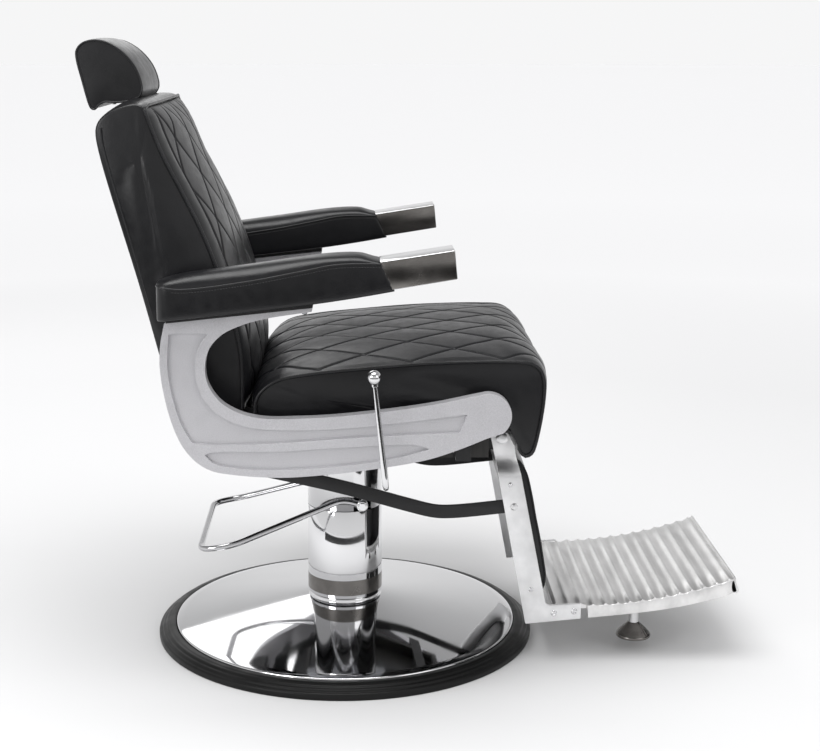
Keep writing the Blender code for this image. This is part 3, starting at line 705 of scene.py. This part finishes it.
def quilting(along, across, origin, depth=0.0025, puff=0.0018):
    """Height of diamond quilting: soft pillows between narrow sewn grooves."""
    s = (along - origin) / QUILT_LONG
    w = across / QUILT_WIDE
    a, b = s + w, s - w
    width = 1 / sqrt(1 / QUILT_LONG ** 2 + 1 / QUILT_WIDE ** 2)
    da = np.abs(a - np.round(a)) * width
    db = np.abs(b - np.round(b)) * width
    pillow = puff * np.sqrt(np.abs(np.sin(pi * a) * np.sin(pi * b)))
    groove = depth * np.maximum(np.exp(-(da / 0.002) ** 2), np.exp(-(db / 0.002) ** 2))
    knot = 0.0008 * np.exp(-(da ** 2 + db ** 2) / 0.006 ** 2)
    return pillow - groove - knot


def finish_pad(made, body, replaced):
    piece(made, body, replaced)
    return made


def piping(name, points, body, radius=0.0029, closed=False, spacing=0.006):
    line = resample([Vector(p) for p in points] + ([Vector(points[0])] if closed else []),
                    spacing, closed)
    return piece(tube(name, line, radius, "piping", 10, closed), body)


def stitches(name, points, body, lift=Vector((0, 0, 0)), pitch=0.0046, length=0.0032,
             radius=0.00055):
    """A row of short raised threads along a line."""
    line = resample([Vector(p) + lift for p in points], pitch)
    bm = bmesh.new()
    for a, b in zip(line, line[1:]):
        along = (b - a).normalized()
        side = along.orthogonal().normalized()
        up = along.cross(side)
        middle = (a + b) / 2
        rings = []
        for shift, r in ((-0.5, 0.35), (-0.32, 1.0), (0.32, 1.0), (0.5, 0.35)):
            rings.append([bm.verts.new(middle + along * length * shift
                                       + (side * cos(pi * k / 3) + up * sin(pi * k / 3)) * radius * r)
                          for k in range(6)])
        close_rows(bm, rings)
    return piece(add_object(name, bm, "thread", 0), body)


# ---- seat
def make_seat():
    low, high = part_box("seat_cushion")
    half = (high[0] - low[0]) / 2 + 0.004
    outline = mm((-128, 450), (-142, 464), (-147, 485), (-145.5, 506), (-136.1, 521.5),
                 (-111.5, 538.5), (-59.3, 549.5), (28, 558.5), (132.8, 567), (220.1, 570.2),
                 (272.5, 570.4), (311, 568), (329, 558), (337, 535.8), (335.5, 493.9),
                 (329, 452.1), (322.5, 424.1), (317, 411), (307, 407.5), (298, 415), (295, 432),
                 (292, 449), (270, 451.2), (0, 451.2))
    profile = smooth_line(outline, 0.009, True)
    underside = lambda p: p.y < 0.453 and p.x < 0.292

    def crown(i, point, across):
        edge = 1 - abs(across) ** 5
        if underside(point):
            return 0.0
        if point.x > 0.3 and point.y < 0.545:
            return 0.014 * edge * min(1.0, (point.y - 0.405) / 0.03)
        return 0.011 * edge

    def place(point, x):
        lift = 0.0
        if point.x > 0.29 and point.y < 0.44:
            room = min(max((0.225 - abs(x)) / 0.03, 0.0), 1.0)
            lift = 0.013 * room * (0.44 - point.y) / 0.034
        return world(point.x, point.y + lift, x)

    seat = slab("quilted_seat", profile, half, place, crown, bulge=0.007)
    inflate(seat, 3.0, 0.008)
    subdivide(seat, 2)
    lengths = distances(profile)
    sewn = [l for l, p in zip(lengths, profile) if not underside(p)]
    first, last = sewn[0] + 0.02, sewn[-1] - 0.02
    origin = lengths[closest(profile, (0.035, 0.5591))]

    def stitched(rest):
        along, across, sheet = rest.T
        inside = np.clip((half - 0.006 - np.abs(across)) / 0.014, 0, 1)
        ends = np.clip((along - first) / 0.03, 0, 1) * np.clip((last - along) / 0.03, 0, 1)
        return quilting(along, across, origin) * sheet * inside * ends

    push_out(seat, stitched)
    finish_pad(seat, "chair", ["seat_cushion"])
    for name, side in SIDES:
        loop = [place(p, side * (half + 0.001)) for p in profile]
        piping("seat_piping_" + name, loop, "chair", closed=True)


# ---- backrest
BACK_FRONT = mm((110, 68), (120, 105), (132, 160), (135.8, 212), (134.5, 290), (126.3, 374.6),
                (113, 445), (99.2, 511.7), (93, 562), (90.5, 596))


def make_back():
    low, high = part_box("back_shell")
    half = (high[0] - low[0]) / 2 + 0.002
    outline = BACK_FRONT + mm((85, 605.5), (74, 609), (45, 608.5), (23, 604), (8, 593), (0.5, 575),
                              (0, 300), (0, 30), (4, 6), (18, 1), (40, 1.5), (50, 12), (52, 40),
                              (60, 58), (95, 59))
    profile = smooth_line(outline, 0.009, True)
    front = [p.x > 0.088 and 0.066 < p.y < 0.6 for p in profile]

    def crown(i, point, across):
        if front[i]:
            ends = min(1.0, (point.y - 0.05) / 0.06, (0.612 - point.y) / 0.05)
            return 0.024 * (1 - abs(across) ** 4) * max(ends, 0.0)
        if point.y > 0.59:
            return 0.006 * (1 - abs(across) ** 4)
        return 0.0

    def place(point, x):
        taper = 1.0 + 0.02 * (0.35 - point.y)
        return world(*on_back(point.x, point.y), x * taper)

    back = slab("quilted_back", profile, half, place, crown, bulge=0.005)
    inflate(back, 2.6, 0.007)
    subdivide(back, 2)
    lengths = distances(profile)
    origin = lengths[closest(profile, (0.111, 0.453))]
    spans = [l for l, f in zip(lengths, front) if f]
    first, last = min(spans), max(spans)

    def stitched(rest):
        along, across, sheet = rest.T
        out = np.abs(across)
        border = half - 0.043
        ends = np.clip((along - first) / 0.03, 0, 1) * np.clip((last - along) / 0.02, 0, 1)
        diamonds = quilting(along, across, origin) * (out < border)
        seam = 0.003 * np.exp(-((out - border) / 0.0026) ** 2)
        share = np.clip((out - border) / (half - border), 0, 1)
        roll = 0.0034 * np.sin(pi * share) ** 0.7
        return (diamonds - seam + roll) * sheet * ends

    push_out(back, stitched)
    finish_pad(back, "back", ["back_cushion", "back_shell"])

    edge = smooth_line(BACK_FRONT, 0.008)
    out = 0.0015
    left = [place(p, half + out) for p in edge]
    right = [place(p, -half - out) for p in edge]
    top = [place(Vector((0.0905 + 0.01 * (1 - (t / 9 - 1) ** 4), 0.601)), half * (1 - t / 9))
           for t in range(1, 18)]
    loop = left + top + right[::-1]
    piping("back_piping", loop, "back")
    rear = mm((12.5, 585), (8.5, 560), (8.5, 300), (8.5, 30))
    rear_line = smooth_line(rear, 0.008)
    for name, side in SIDES:
        line = [place(p, side * (half + 0.0035)) for p in rear_line]
        piping("rear_seam_" + name, line, "back", radius=0.0016)


# ---- headrest
def make_headrest():
    low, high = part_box("headrest_cushion")
    half = (high[0] - low[0]) / 2 - 0.001
    outline = mm((-18, 625), (-18, 674), (-17.2, 705.5), (-13.5, 721.5), (-1.5, 730.5),
                 (17.5, 731.5), (37, 724), (54, 709), (67.5, 689.5), (76.5, 666.5), (79, 643),
                 (77, 628), (69, 618), (54, 615.5), (29, 618.5), (8, 625), (-3, 622.5), (-10, 617),
                 (-16, 618))
    profile = smooth_line(outline, 0.0065, True)
    band = [not (p.x < -0.012 or p.y < 0.628 and p.x < 0.06) for p in profile]

    def crown(i, point, across):
        return 0.004 * (1 - abs(across) ** 4) if band[i] else 0.0

    def place(point, x):
        return world(*on_back(point.x, point.y), x)

    rest = slab("headrest_pad", profile, half, place, crown, cell=0.0065, rings=6, bulge=0.0)
    inflate(rest, 2.5, 0.006)
    subdivide(rest, 2)
    finish_pad(rest, "headrest", ["headrest_cushion"])
    middle = sum(profile, Vector((0, 0))) / len(profile)
    for name, side in SIDES:
        piping("headrest_piping_" + name, [place(p, side * (half + 0.0003)) for p in profile],
               "headrest", radius=0.0019, closed=True, spacing=0.004)
        upper = [p for p in profile if p.y > 0.635 and p.x > -0.01]
        inner = [place(p - (p - middle).normalized() * 0.0001, side * (half - 0.006))
                 + (place(p, 0) - place(middle, 0)).normalized() * 0.0008 for p in upper]
        stitches("headrest_stitches_" + name, inner, "headrest")


# ---- base and column
def dome_height(radius):
    share = (radius - 0.075) / 0.24
    return 0.0665 - 0.0395 * max(share, 0.0) ** 0.97


def make_base():
    radii = [0.085 + 0.2285 * i / 20 for i in range(21)]
    outside = mm((53.4, 74.8), (64, 74.8), (66.2, 74.2), (67.1, 72.8), (67.2, 70), (67.4, 68.4),
                 (68.2, 67.4), (73.5, 66.6))
    outside += [(r, dome_height(r)) for r in radii]
    outside += mm((315, 26.6), (316.4, 26.2), (317.4, 25), (317.7, 23.2), (317.7, 10.5))
    inside = mm((316, 10.5), (316, 22.5))
    inside += [(r, dome_height(r) - 0.0016) for r in radii[::-1]] + [(0.0534, 0.0655)]
    dome = lathe("chrome_dome", outside + inside, "chrome", 192)
    piece(resharpen(dome), "base", ["dome_cover"])
    steps = mm((318.4, 0), (348.5, 0), (349.8, 1), (350, 3), (350, 8.2), (349.2, 10.8),
               (347.2, 12.4), (344.8, 13), (343.6, 13.8), (343, 15.8), (341.4, 17.3), (339, 17.8),
               (337.4, 18.4), (336.6, 20.3), (334.8, 21.7), (332.2, 22.3), (330, 22.6),
               (329, 23.3), (326.2, 23.7), (321, 23.7), (319.2, 23.2), (318.4, 22))
    ring = lathe("stepped_ring", steps, "rubber", 192)
    piece(resharpen(ring, 60), "base", ["rubber_ring"])
    sleeve = lathe("sleeve", mm((50.5, 19), (53, 19), (53, 240), (50.5, 240)),
                   "chrome", 128)
    piece(sleeve, "base", ["inner_sleeve"])


def make_column():
    outer, wall = 0.0694, 0.0015
    cover = lathe("cover_tube", [(outer - wall, 0.076), (outer - 0.0009, 0.076),
                                 (outer - 0.0002, 0.0764), (outer, 0.0772), (outer, 0.2424),
                                 (outer - 0.0004, 0.2431), (outer - wall, 0.2432)],
                  "chrome", 160)
    piece(cover, "chair", ["column_cover"])
    # painted reflection: a dark band on the chrome cover where it mirrors the dark dome and seat
    # underside
    band = lathe("dark_band", [(outer - 0.0001, 0.082), (outer + 0.0002, 0.0823),
                               (outer + 0.0002, 0.1107), (outer - 0.0001, 0.111)],
                 "painted_dark_chrome", 160)
    piece(resharpen(band), "chair")
    collar = lathe("collar_tube", [(outer - wall, 0.244), (outer - 0.0004, 0.244),
                                   (outer, 0.2446), (outer, 0.3728), (outer - 0.0008, 0.3736),
                                   (outer - wall, 0.3736)], "chrome", 160)
    forward, height = PEDAL_PIVOT
    window = rounded([(forward - 0.016, 0.23), (forward + 0.016, 0.23),
                      (forward + 0.016, height + 0.014), (forward - 0.016, height + 0.014)], 0.006)
    boolean(collar, prism("window", window, -0.1, 0.1, "chrome"))
    piece(resharpen(collar), "chair", ["column_collar"])


# ---- side castings
def eased(outline, limit=18):
    """Takes the points off an outline's sharp corners."""
    out, count = [], len(outline)
    for i, here in enumerate(outline):
        here = Vector(here)
        back, ahead = Vector(outline[i - 1]) - here, Vector(outline[(i + 1) % count]) - here
        if back.length < 1e-6 or ahead.length < 1e-6:
            continue
        if pi - back.angle(ahead) < radians(limit):
            out.append(here)
            continue
        first, last = here + back * 0.45, here + ahead * 0.45
        for t in (0, 0.33, 0.67, 1):
            out.append(first * (1 - t) ** 2 + here * 2 * t * (1 - t) + last * t * t)
    return out


def casting_outline():
    outer = mm((-290, 645.5), (-297, 610), (-298.5, 575), (-293, 530), (-279, 475), (-262, 438),
               (-240, 413), (-215, 399), (-180, 392.5), (-104, 387.5), (-4, 394.5), (78, 405.5),
               (141, 417.5), (194, 435), (238, 453))
    nose = arc((0.2405, 0.4905), 0.0375, -52, 98, 20)
    inner = mm((205, 521.5), (160, 512), (96, 502), (-4, 491), (-70, 487.5), (-133, 488),
               (-170, 497), (-202, 517), (-221.5, 548), (-224.5, 578), (-217, 605), (-196, 628),
               (-165, 643), (-130, 653), (-50, 665.5))
    line = [*smooth_line(outer, 0.006), *nose, *smooth_line(inner, 0.006)]
    return line + mm((-48, 673.5), (-287, 649))


def upper_panel():
    rear = mm((-283, 630), (-286, 580), (-280, 530), (-265, 478), (-247, 446))
    low = mm((-247, 446), (-200, 443), (-100, 446.5), (-4, 453), (100, 459), (192, 462.5))
    end = mm((192, 462.5), (205, 493.5))
    high = mm((205, 493.5), (96, 480), (-4, 470), (-90, 468), (-150, 472), (-190, 486),
              (-222, 512), (-238, 546), (-241, 580), (-234, 608), (-218, 630))
    sides = [smooth_line(rear, 0.006), smooth_line(low, 0.006), resample(
        [Vector(p) for p in end], 0.006), smooth_line(high, 0.006)]
    return eased([p for side in sides for p in side[:-1]] + [Vector(high[-1])])


def lower_panel():
    low = mm((-228, 426), (-212, 412), (-175, 403.5), (-104, 400.5), (-4, 407), (78, 418),
             (143, 435))
    high = mm((143, 435), (120, 442), (-4, 438), (-104, 432), (-218, 430), (-228, 426))
    return eased([*smooth_line(low, 0.005)[:-1], *smooth_line(high, 0.006)[:-1]])


def make_castings():
    face, back = 0.345, 0.323
    for name, side in SIDES:
        casting = prism("casting_" + name, casting_outline(), side * face, side * back,
                        "cast")
        depth = sorted((side * (face - 0.006), side * (face + 0.01)))
        for outline in (upper_panel(), lower_panel()):
            boolean(casting, prism("panel", outline, *depth, "cast"))
        piece(flattened(edged(casting, 0.0015, 3, 42, 60)), "chair",
              ["side_casting_" + name])
        head = lathe("arm_screw_" + name, mm((0, 0), (2.2, 0.3), (4, 1.3), (4.8, 3), (4.8, 4.4),
                                             (0, 4.4)),
                     "steel", 32, (side * 0.334, 0.062, 0.6592))
        piece(head, "chair")


# ---- armrests
ARM_SEAM = mm((-302, 712), (-261.3, 707.4), (-158.6, 719.3), (-62.6, 736.5), (-4.6, 746.8),
              (57.1, 748.4), (85, 747))
ARM_CROWN = mm((-302, 715), (-285, 722), (-255, 729), (-190, 737), (-120, 745.5), (-60, 754.5),
               (-10, 760.5), (30, 762.5), (48, 761), (60, 756), (85, 750))
ARM_MID, ARM_HALF, ARM_REAR = 0.344, 0.035, -0.3


def level_on(curve, forward):
    line = smooth_line(curve, 0.004)
    return float(np.interp(forward, [p.x for p in line], [p.y for p in line]))


def arm_underside(forward):
    return 0.6885 + 0.118 * forward + 0.155 * max(forward + 0.13, 0.0) ** 2


def arm_forward(share):
    return ARM_REAR + share * (0.07 - ARM_REAR)


def arm_section(forward, width):
    """(across, height) points round the armrest pad; the first is on the outer seam."""
    low, seam = arm_underside(forward), level_on(ARM_SEAM, forward)
    crown = level_on(ARM_CROWN, forward)
    points = []
    for i in range(17):
        angle = pi * i / 16
        across = abs(cos(angle)) ** 0.78 * (1 if angle <= pi / 2 else -1)
        points.append((across * width, seam + (crown - seam) * sin(angle) ** 0.85))
    for t in (0.25, 0.5, 0.75):
        points.append((-width - 0.0008 * sin(pi * t), seam + (low + 0.005 - seam) * t))
    points += [(-width, low + 0.005), (-width + 0.0015, low + 0.0015), (-width + 0.005, low)]
    points += [((width - 0.005) * t, low) for t in (-0.5, 0.0, 0.5)]
    points += [(width - 0.005, low), (width - 0.0015, low + 0.0015), (width, low + 0.005)]
    for t in (0.75, 0.5, 0.25):
        points.append((width + 0.0008 * sin(pi * t), seam + (low + 0.005 - seam) * t))
    return points


def arm_place(share, point, side):
    """A section point in the world; the pad's front is cut on a slant."""
    across, height = point
    front = 0.0828 - (height - 0.7063) * 0.508
    return world(ARM_REAR + share * (front - ARM_REAR), height, side * ARM_MID + across)


def arm_width(share):
    along, corner = share * 0.375, 0.02
    if along >= corner:
        return ARM_HALF
    return ARM_HALF - corner + sqrt(corner ** 2 - (corner - along) ** 2)


def make_arm(name, side):
    shares = [0.0, 0.003, 0.009, 0.018, 0.03, 0.042]
    shares += [0.054 + 0.946 * i / 62 for i in range(63)]
    bm = bmesh.new()
    rows, pinned = [], []
    for share in shares:
        section = arm_section(arm_forward(share), arm_width(share))
        row = [bm.verts.new(arm_place(share, p, side)) for p in section]
        pinned += [row[0], row[16], *row[18:32]]
        rows.append(row)
    pinned += rows[-1]
    close_rows(bm, rows)
    seams = [set(rows[-1]), {row[0] for row in rows}, {row[16] for row in rows}]
    pad = seamed("padded_arm_" + name, bm, pinned, seams, 0.8)
    inflate(pad, 2.0, 0.003)
    subdivide(pad, 1)
    finish_pad(pad, "chair", ["arm_pad_" + name])

    def on_seam(share, across):
        level = level_on(ARM_SEAM, arm_forward(share))
        return arm_place(share, (arm_width(share) * across, level), side)

    seams = {across: [on_seam(share, across) for share in shares[1:]] for across in (1, -1)}
    piping("arm_piping_" + name, seams[1][::-1] + seams[-1], "chair", radius=0.0017,
           spacing=0.004)
    for end, across in (("out", 1), ("in", -1)):
        stitches("arm_stitches_" + end + "_" + name, seams[across][6:], "chair",
                 Vector((across * 0.0005, 0, -0.0052)))
    tip = prism("polished_tip_" + name, [(0.08, arm_underside(0.0842) + 0.001),
                                         (0.1848, 0.7235), (0.1804, 0.7705), (0.06, 0.752)],
                side * ARM_MID - ARM_HALF, side * ARM_MID + ARM_HALF, "chrome")
    # painted dark reflection: faces turned sideways take the darker chrome copy, the top stays bright
    # chrome
    tip.data.materials.append(LOOK["painted_dark_chrome"])
    for face in tip.data.polygons:
        face.material_index = int(abs(face.normal.x) > 0.7)
    piece(edged(tip, 0.0016), "chair", ["arm_tip_" + name])


# ---- levers and links
def make_pedal():
    forward, height = PEDAL_PIVOT
    near = [(0.0945, -forward, height), (0.0935, 0.004, 0.2735), (0.153, 0.203, 0.207),
            (0.146, 0.259, 0.1985)]
    route = near + [(-x, y, z) for x, y, z in reversed(near)]
    line = smooth_line(resample(rounded(route, 0.042, 8, False), 0.012), 0.005)
    bail = tube("pedal_bail", line, 0.0058, "rod", 24)
    piece(resharpen(bail), "pedal", ["pump_pedal"])
    for name, side in SIDES:
        eye = lathe("pedal_eye_" + name, mm((4.2, -6), (9.2, -6), (10.4, -4.8), (10.6, 0),
                                            (10.4, 4.8), (9.2, 6), (4.2, 6)), "chrome", 48,
                    world(forward, height, side * 0.0945), "X")
        piece(resharpen(eye, 50), "pedal")


def make_lever():
    outer_x, inner_x = -0.375, -0.13
    ball, bend = world(0.051, 0.563, outer_x), world(*LEVER_PIVOT, outer_x)
    route = [ball, bend, world(*LEVER_PIVOT, inner_x)]
    line = resample(rounded(route, 0.018, 10, False), 0.003)
    along = [min(i * 0.003 / 0.15, 1.0) for i in range(len(line))]
    rod = tube("lever_rod", line, 0.005, "chrome", 24, radii=[0.004 + 0.0012 * t for t in along])
    piece(resharpen(rod), "lever", ["recline_lever"])
    profile = [(0.0116 * sin(pi * i / 24), 0.0116 * cos(pi * i / 24)) for i in range(25)]
    profile = profile[:22] + mm((6.2, -10.5), (6.2, -15), (4.5, -15.8), (0, -15.8))
    knob = lathe("lever_ball", profile, "chrome", 64)
    upward = (ball - bend).normalized().to_track_quat("Z", "Y").to_matrix().to_4x4()
    knob.data.transform(Matrix.Translation(ball) @ upward)
    piece(resharpen(knob), "lever", ["recline_knob"])


def make_links():
    """Flat bars from the recline cranks to the footrest legs."""
    middle = smooth_line([CRANK_PIN, (-0.0225, 0.3265), (0.059, 0.3045), (0.115, 0.2885),
                          (0.16, 0.2775), (0.19, 0.2765), LINK_PIN], 0.006)
    half = 0.012
    upper, lower = [], []
    for i, here in enumerate(middle):
        along = (middle[min(i + 1, len(middle) - 1)] - middle[max(i - 1, 0)]).normalized()
        across = Vector((-along.y, along.x)) * half
        upper.append(here + across)
        lower.append(here - across)
    rear, front = arc(CRANK_PIN, half, 92, 248, 14), arc(LINK_PIN, half, -80, 92, 14)
    outline = upper[2:-2][::-1] + [Vector(p) for p in rear] + lower[2:-2] + [Vector(p) for p in front]
    for name, side in SIDES:
        bar = prism("link_strap_" + name, outline, side * 0.1764, side * 0.1706,
                    "black")
        piece(edged(bar, 0.0009, 2, 50), "link_" + name, ["link_bar_" + name])


# ---- footrest
def cross_screw(radius, height):
    """A pan head with a cross recess, its seat at the origin, facing +Z."""
    profile = [(0, height), (radius * 0.45, height * 0.97), (radius * 0.78, height * 0.8),
               (radius * 0.96, height * 0.45), (radius, 0), (0, 0)]
    head = lathe("screw", profile, "chrome", 32)
    for wide, tall in ((radius * 0.62, radius * 0.15), (radius * 0.15, radius * 0.62)):
        bm = bmesh.new()
        corners = ((-wide, -tall), (wide, -tall), (wide, tall), (-wide, tall))
        close_rows(bm, [[bm.verts.new((x * grow, y * grow, height * level)) for x, y in corners]
                        for grow, level in ((0.7, 0.25), (1, 1.2))])
        boolean(head, add_object("slot", bm, "chrome", 0))
    resharpen(head, 40)
    mesh = head.data
    bpy.data.objects.remove(head, do_unlink=True)
    return mesh


def set_screws(name, mesh, places, body):
    """Copies of one head: (forward, height, x, side, turn) for each."""
    for i, (forward, height, x, side, turn) in enumerate(places):
        head = bpy.data.objects.new(f"{name}_{i + 1}", mesh)
        bpy.context.collection.objects.link(head)
        head.matrix_world = (Matrix.Translation(world(forward, height, x))
                             @ Matrix.Rotation(radians(90 * side), 4, "Y")
                             @ Matrix.Rotation(radians(turn), 4, "Z"))
        piece(head, body)


def make_legs():
    low = mm((273, 335.5), (322.8, 70.8), (421.8, 80), (421.8, 108), (364, 105), (358.4, 109.3),
             (311.7, 346), (304.3, 372))
    eye = arc(LEG_PIVOT, 0.02, 12, 168, 24)
    outline = eye + mm((269.5, 360), (273, 335.5)) + rounded(low, 0.0022, 2)[3:-3] + [(0.3043, 0.372)]
    levels = [0.335 + 0.004 * i for i in range(13)]
    screws = {"small": cross_screw(0.0044, 0.0024), "large": cross_screw(0.0057, 0.0028)}
    rivet = lathe("rivet", mm((0, 3.2), (3.4, 3), (5.6, 2), (6.6, 0.5), (6.6, 0), (0, 0)),
                  "brushed", 40).data
    for name, side in SIDES:
        leg = prism("leg_strap_" + name, outline, side * LEG_OUT, side * 0.177,
                    "brushed")
        bm = bmesh.new()
        bm.from_mesh(leg.data)
        for level in levels:
            bmesh.ops.bisect_plane(bm, geom=bm.verts[:] + bm.edges[:] + bm.faces[:],
                                   plane_co=(0, 0, level), plane_no=(0, 0, 1))
        for vert in bm.verts:
            share = min(max((vert.co.z - 0.341) / 0.034, 0.0), 1.0)
            vert.co.x -= side * 0.015 * share * share * (3 - 2 * share)
        bm.to_mesh(leg.data)
        bm.free()
        piece(edged(leg, 0.0008, 2, 60), "footrest", ["footrest_leg_" + name])
        for size, heads in (("small", [(0.293, 0.327, 20), (0.332, 0.135, 65)]),
                            ("large", [(0.3735, 0.0905, 10), (0.4095, 0.094, 50)])):
            set_screws(f"{size}_screw_{name}", screws[size],
                       [(f, h, side * LEG_OUT, side, turn) for f, h, turn in heads],
                       "footrest")
        set_screws("link_rivet_" + name, rivet, [(*LINK_PIN, side * LEG_OUT, side, 0)], "footrest")
    bolt = lathe("bolt", mm((0, 5.2), (6, 5), (9.2, 4), (10.4, 2.2), (10.6, 0), (0, 0)),
                 "brushed", 48).data
    for name, side in SIDES:
        set_screws("pivot_head_" + name, bolt, [(*LEG_PIVOT, side * HANGER_OUT, side, 0)], "chair")
        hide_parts("leg_pivot_bolt_" + name)
    for spare in [o for o in bpy.data.objects if o.name in ("rivet", "bolt")]:
        bpy.data.objects.remove(spare, do_unlink=True)


def tray_top(forward):
    return 0.108 + 0.6 * max(forward - 0.42, 0.0) ** 1.95


def make_tray():
    """A fluted casting: hollows between narrow ridges."""
    pitch, parts = 0.022, 10
    steps = int((TRAY_FRONT - TRAY_REAR) / pitch * parts)

    def fluted(forward):
        wave = abs(sin(pi * (forward - TRAY_REAR - 0.006) / pitch))
        return tray_top(forward) - 0.0044 * (wave ** 0.8) + 0.0002

    bm = bmesh.new()
    rows = []
    for i in range(steps + 1):
        forward = TRAY_REAR + (TRAY_FRONT - TRAY_REAR) * i / steps
        half = TRAY_REAR_HALF if forward < TRAY_NOTCH - 0.0005 else TRAY_HALF - 0.0002
        up, down = fluted(forward), tray_top(forward) - 0.011
        columns = [-half, -half + 0.0012, -0.12, -0.06, 0.0, 0.06, 0.12, half - 0.0012, half]
        drop = [0.0009, 0, 0, 0, 0, 0, 0, 0, 0.0009]
        row = [bm.verts.new(world(forward, up - d, x)) for x, d in zip(columns, drop)]
        row += [bm.verts.new(world(forward, down, x)) for x in reversed(columns)]
        rows.append(row)
    close_rows(bm, rows)
    deck = add_object("fluted_deck", bm, "tray", 50)
    piece(deck, "footrest", ["footrest_tray"])


def make_tray_rim():
    """The skirts under the deck's sides, the lip along its front and the heel behind it."""
    under = smooth_line(mm((701, 129), (673.3, 119), (628.7, 107.5), (569.2, 95.8), (497.7, 87),
                           (434, 81.1)), 0.012)
    spots = [TRAY_NOTCH + (0.694 - TRAY_NOTCH) * i / 24 for i in range(25)]
    top = [Vector((spot + 0.001, tray_top(spot) - 0.0052)) for spot in spots]
    for name, side in SIDES:
        skirt = prism("tray_skirt_" + name, top + under, side * TRAY_HALF, side * 0.1732, "tray")
        piece(edged(skirt, 0.0014, 3, 50), "footrest")
    nose = smooth_line([(0.6905, 0.131), (0.696, 0.1262), (0.7015, 0.1268), (0.7034, 0.13),
                        (0.7026, 0.135), (0.699, 0.144), (0.6966, tray_top(TRAY_FRONT) - 0.001),
                        (0.694, tray_top(0.694) + 0.0002), (0.6905, tray_top(0.69) - 0.006)],
                       0.003, True)
    lip = prism("tray_lip", nose, -TRAY_HALF, TRAY_HALF, "tray")
    piece(edged(lip, 0.0008, 2, 50, 40), "footrest")
    corners = [(TRAY_REAR, 0.084), (TRAY_REAR + 0.006, 0.084), (TRAY_REAR + 0.006, 0.102),
               (TRAY_REAR, 0.102)]
    heel = prism("tray_heel", rounded(corners, 0.002, 3), -TRAY_REAR_HALF, TRAY_REAR_HALF, "tray")
    piece(resharpen(heel), "footrest")


def make_tray_feet():
    """Fluted bumper feet under the tray, each on a post."""
    out, forward = 0.117, 0.528
    stem = tray_top(forward) - 0.0135
    cone = mm((0, 22.6), (28.5, 22.6), (30.8, 23.6), (31.5, 25.6), (31.2, 27.8), (30, 29.4),
              (28.8, 30.4), (25, 35), (20, 40), (15, 44.6), (10.8, 48.6), (10, 50), (0, 50))
    for name, side in SIDES:
        # painted dark reflection: the chrome feet take the darker chrome copy for the dark tray
        # underside they mirror
        foot = lathe("fluted_foot_" + name, cone, "painted_dark_chrome", 168)
        for vert in foot.data.vertices:
            if 0.03 < vert.co.z < 0.048:
                turn = atan2(vert.co.y, vert.co.x)
                vert.co.xy *= 1 - 0.035 * (0.5 - 0.5 * cos(28 * turn))
        foot.data.transform(Matrix.Translation((side * out, -forward, 0)))
        piece(resharpen(foot, 50), "footrest", ["tray_foot_" + name])
        post = lathe("foot_post_" + name, [(0, 0.049), (0.009, 0.049), (0.009, stem + 0.002),
                                           (0, stem + 0.002)],
                     "brushed", 48, (side * out, -forward, 0))
        piece(resharpen(post), "footrest")


def make_calf_pad():
    outline = mm((280, 340), (290.5, 362), (306, 366.5), (321.5, 345), (332, 306), (341, 258),
                 (348.5, 221.9), (357, 170.9), (359.2, 156.1), (356.5, 132), (348, 121.5),
                 (335, 124), (325, 156), (308, 245))
    profile = smooth_line(outline, 0.008, True)
    half = 0.158

    def crown(i, point, across):
        return 0.0022 * (1 - abs(across) ** 4)

    pad = slab("calf_cushion", profile, half, lambda p, x: world(p.x, p.y, x), crown, bulge=0.0015)
    inflate(pad, 2.0, 0.003)
    subdivide(pad, 1)
    finish_pad(pad, "footrest", ["calf_pad"])
    for name, side in SIDES:
        piping("calf_piping_" + name, [world(p.x, p.y, side * half) for p in profile], "footrest",
               radius=0.0022, closed=True)


def dress_cad_nodes():
    """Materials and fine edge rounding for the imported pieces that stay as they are."""
    slots = {entry["node"]: entry["material_slot"] for entry in frame["record"]["subparts"]}
    looks = {"chrome": "chrome", "cast_aluminium": "cast", "polished_aluminium": "tray",
             "brushed_aluminium": "brushed", "steel": "steel", "black_steel": "black",
             "rubber": "rubber", "leather": "leather", "board": "board"}
    for name, node in frame["nodes"].items():
        node.data.materials.clear()
        node.data.materials.append(LOOK[looks[slots[name]]])
        if node.hide_render:
            continue
        weld = node.modifiers.new("weld", "WELD")
        weld.merge_threshold = 0.00002
        bevel(node, 0.0007, 2, 50)


def main():
    make_camera()
    make_materials()
    make_stage()
    make_base()
    make_column()
    make_castings()
    make_seat()
    make_back()
    make_headrest()
    for name, side in SIDES:
        make_arm(name, side)
    make_pedal()
    make_lever()
    make_links()
    make_legs()
    make_tray()
    make_tray_rim()
    make_tray_feet()
    make_calf_pad()
    dress_cad_nodes()


main()
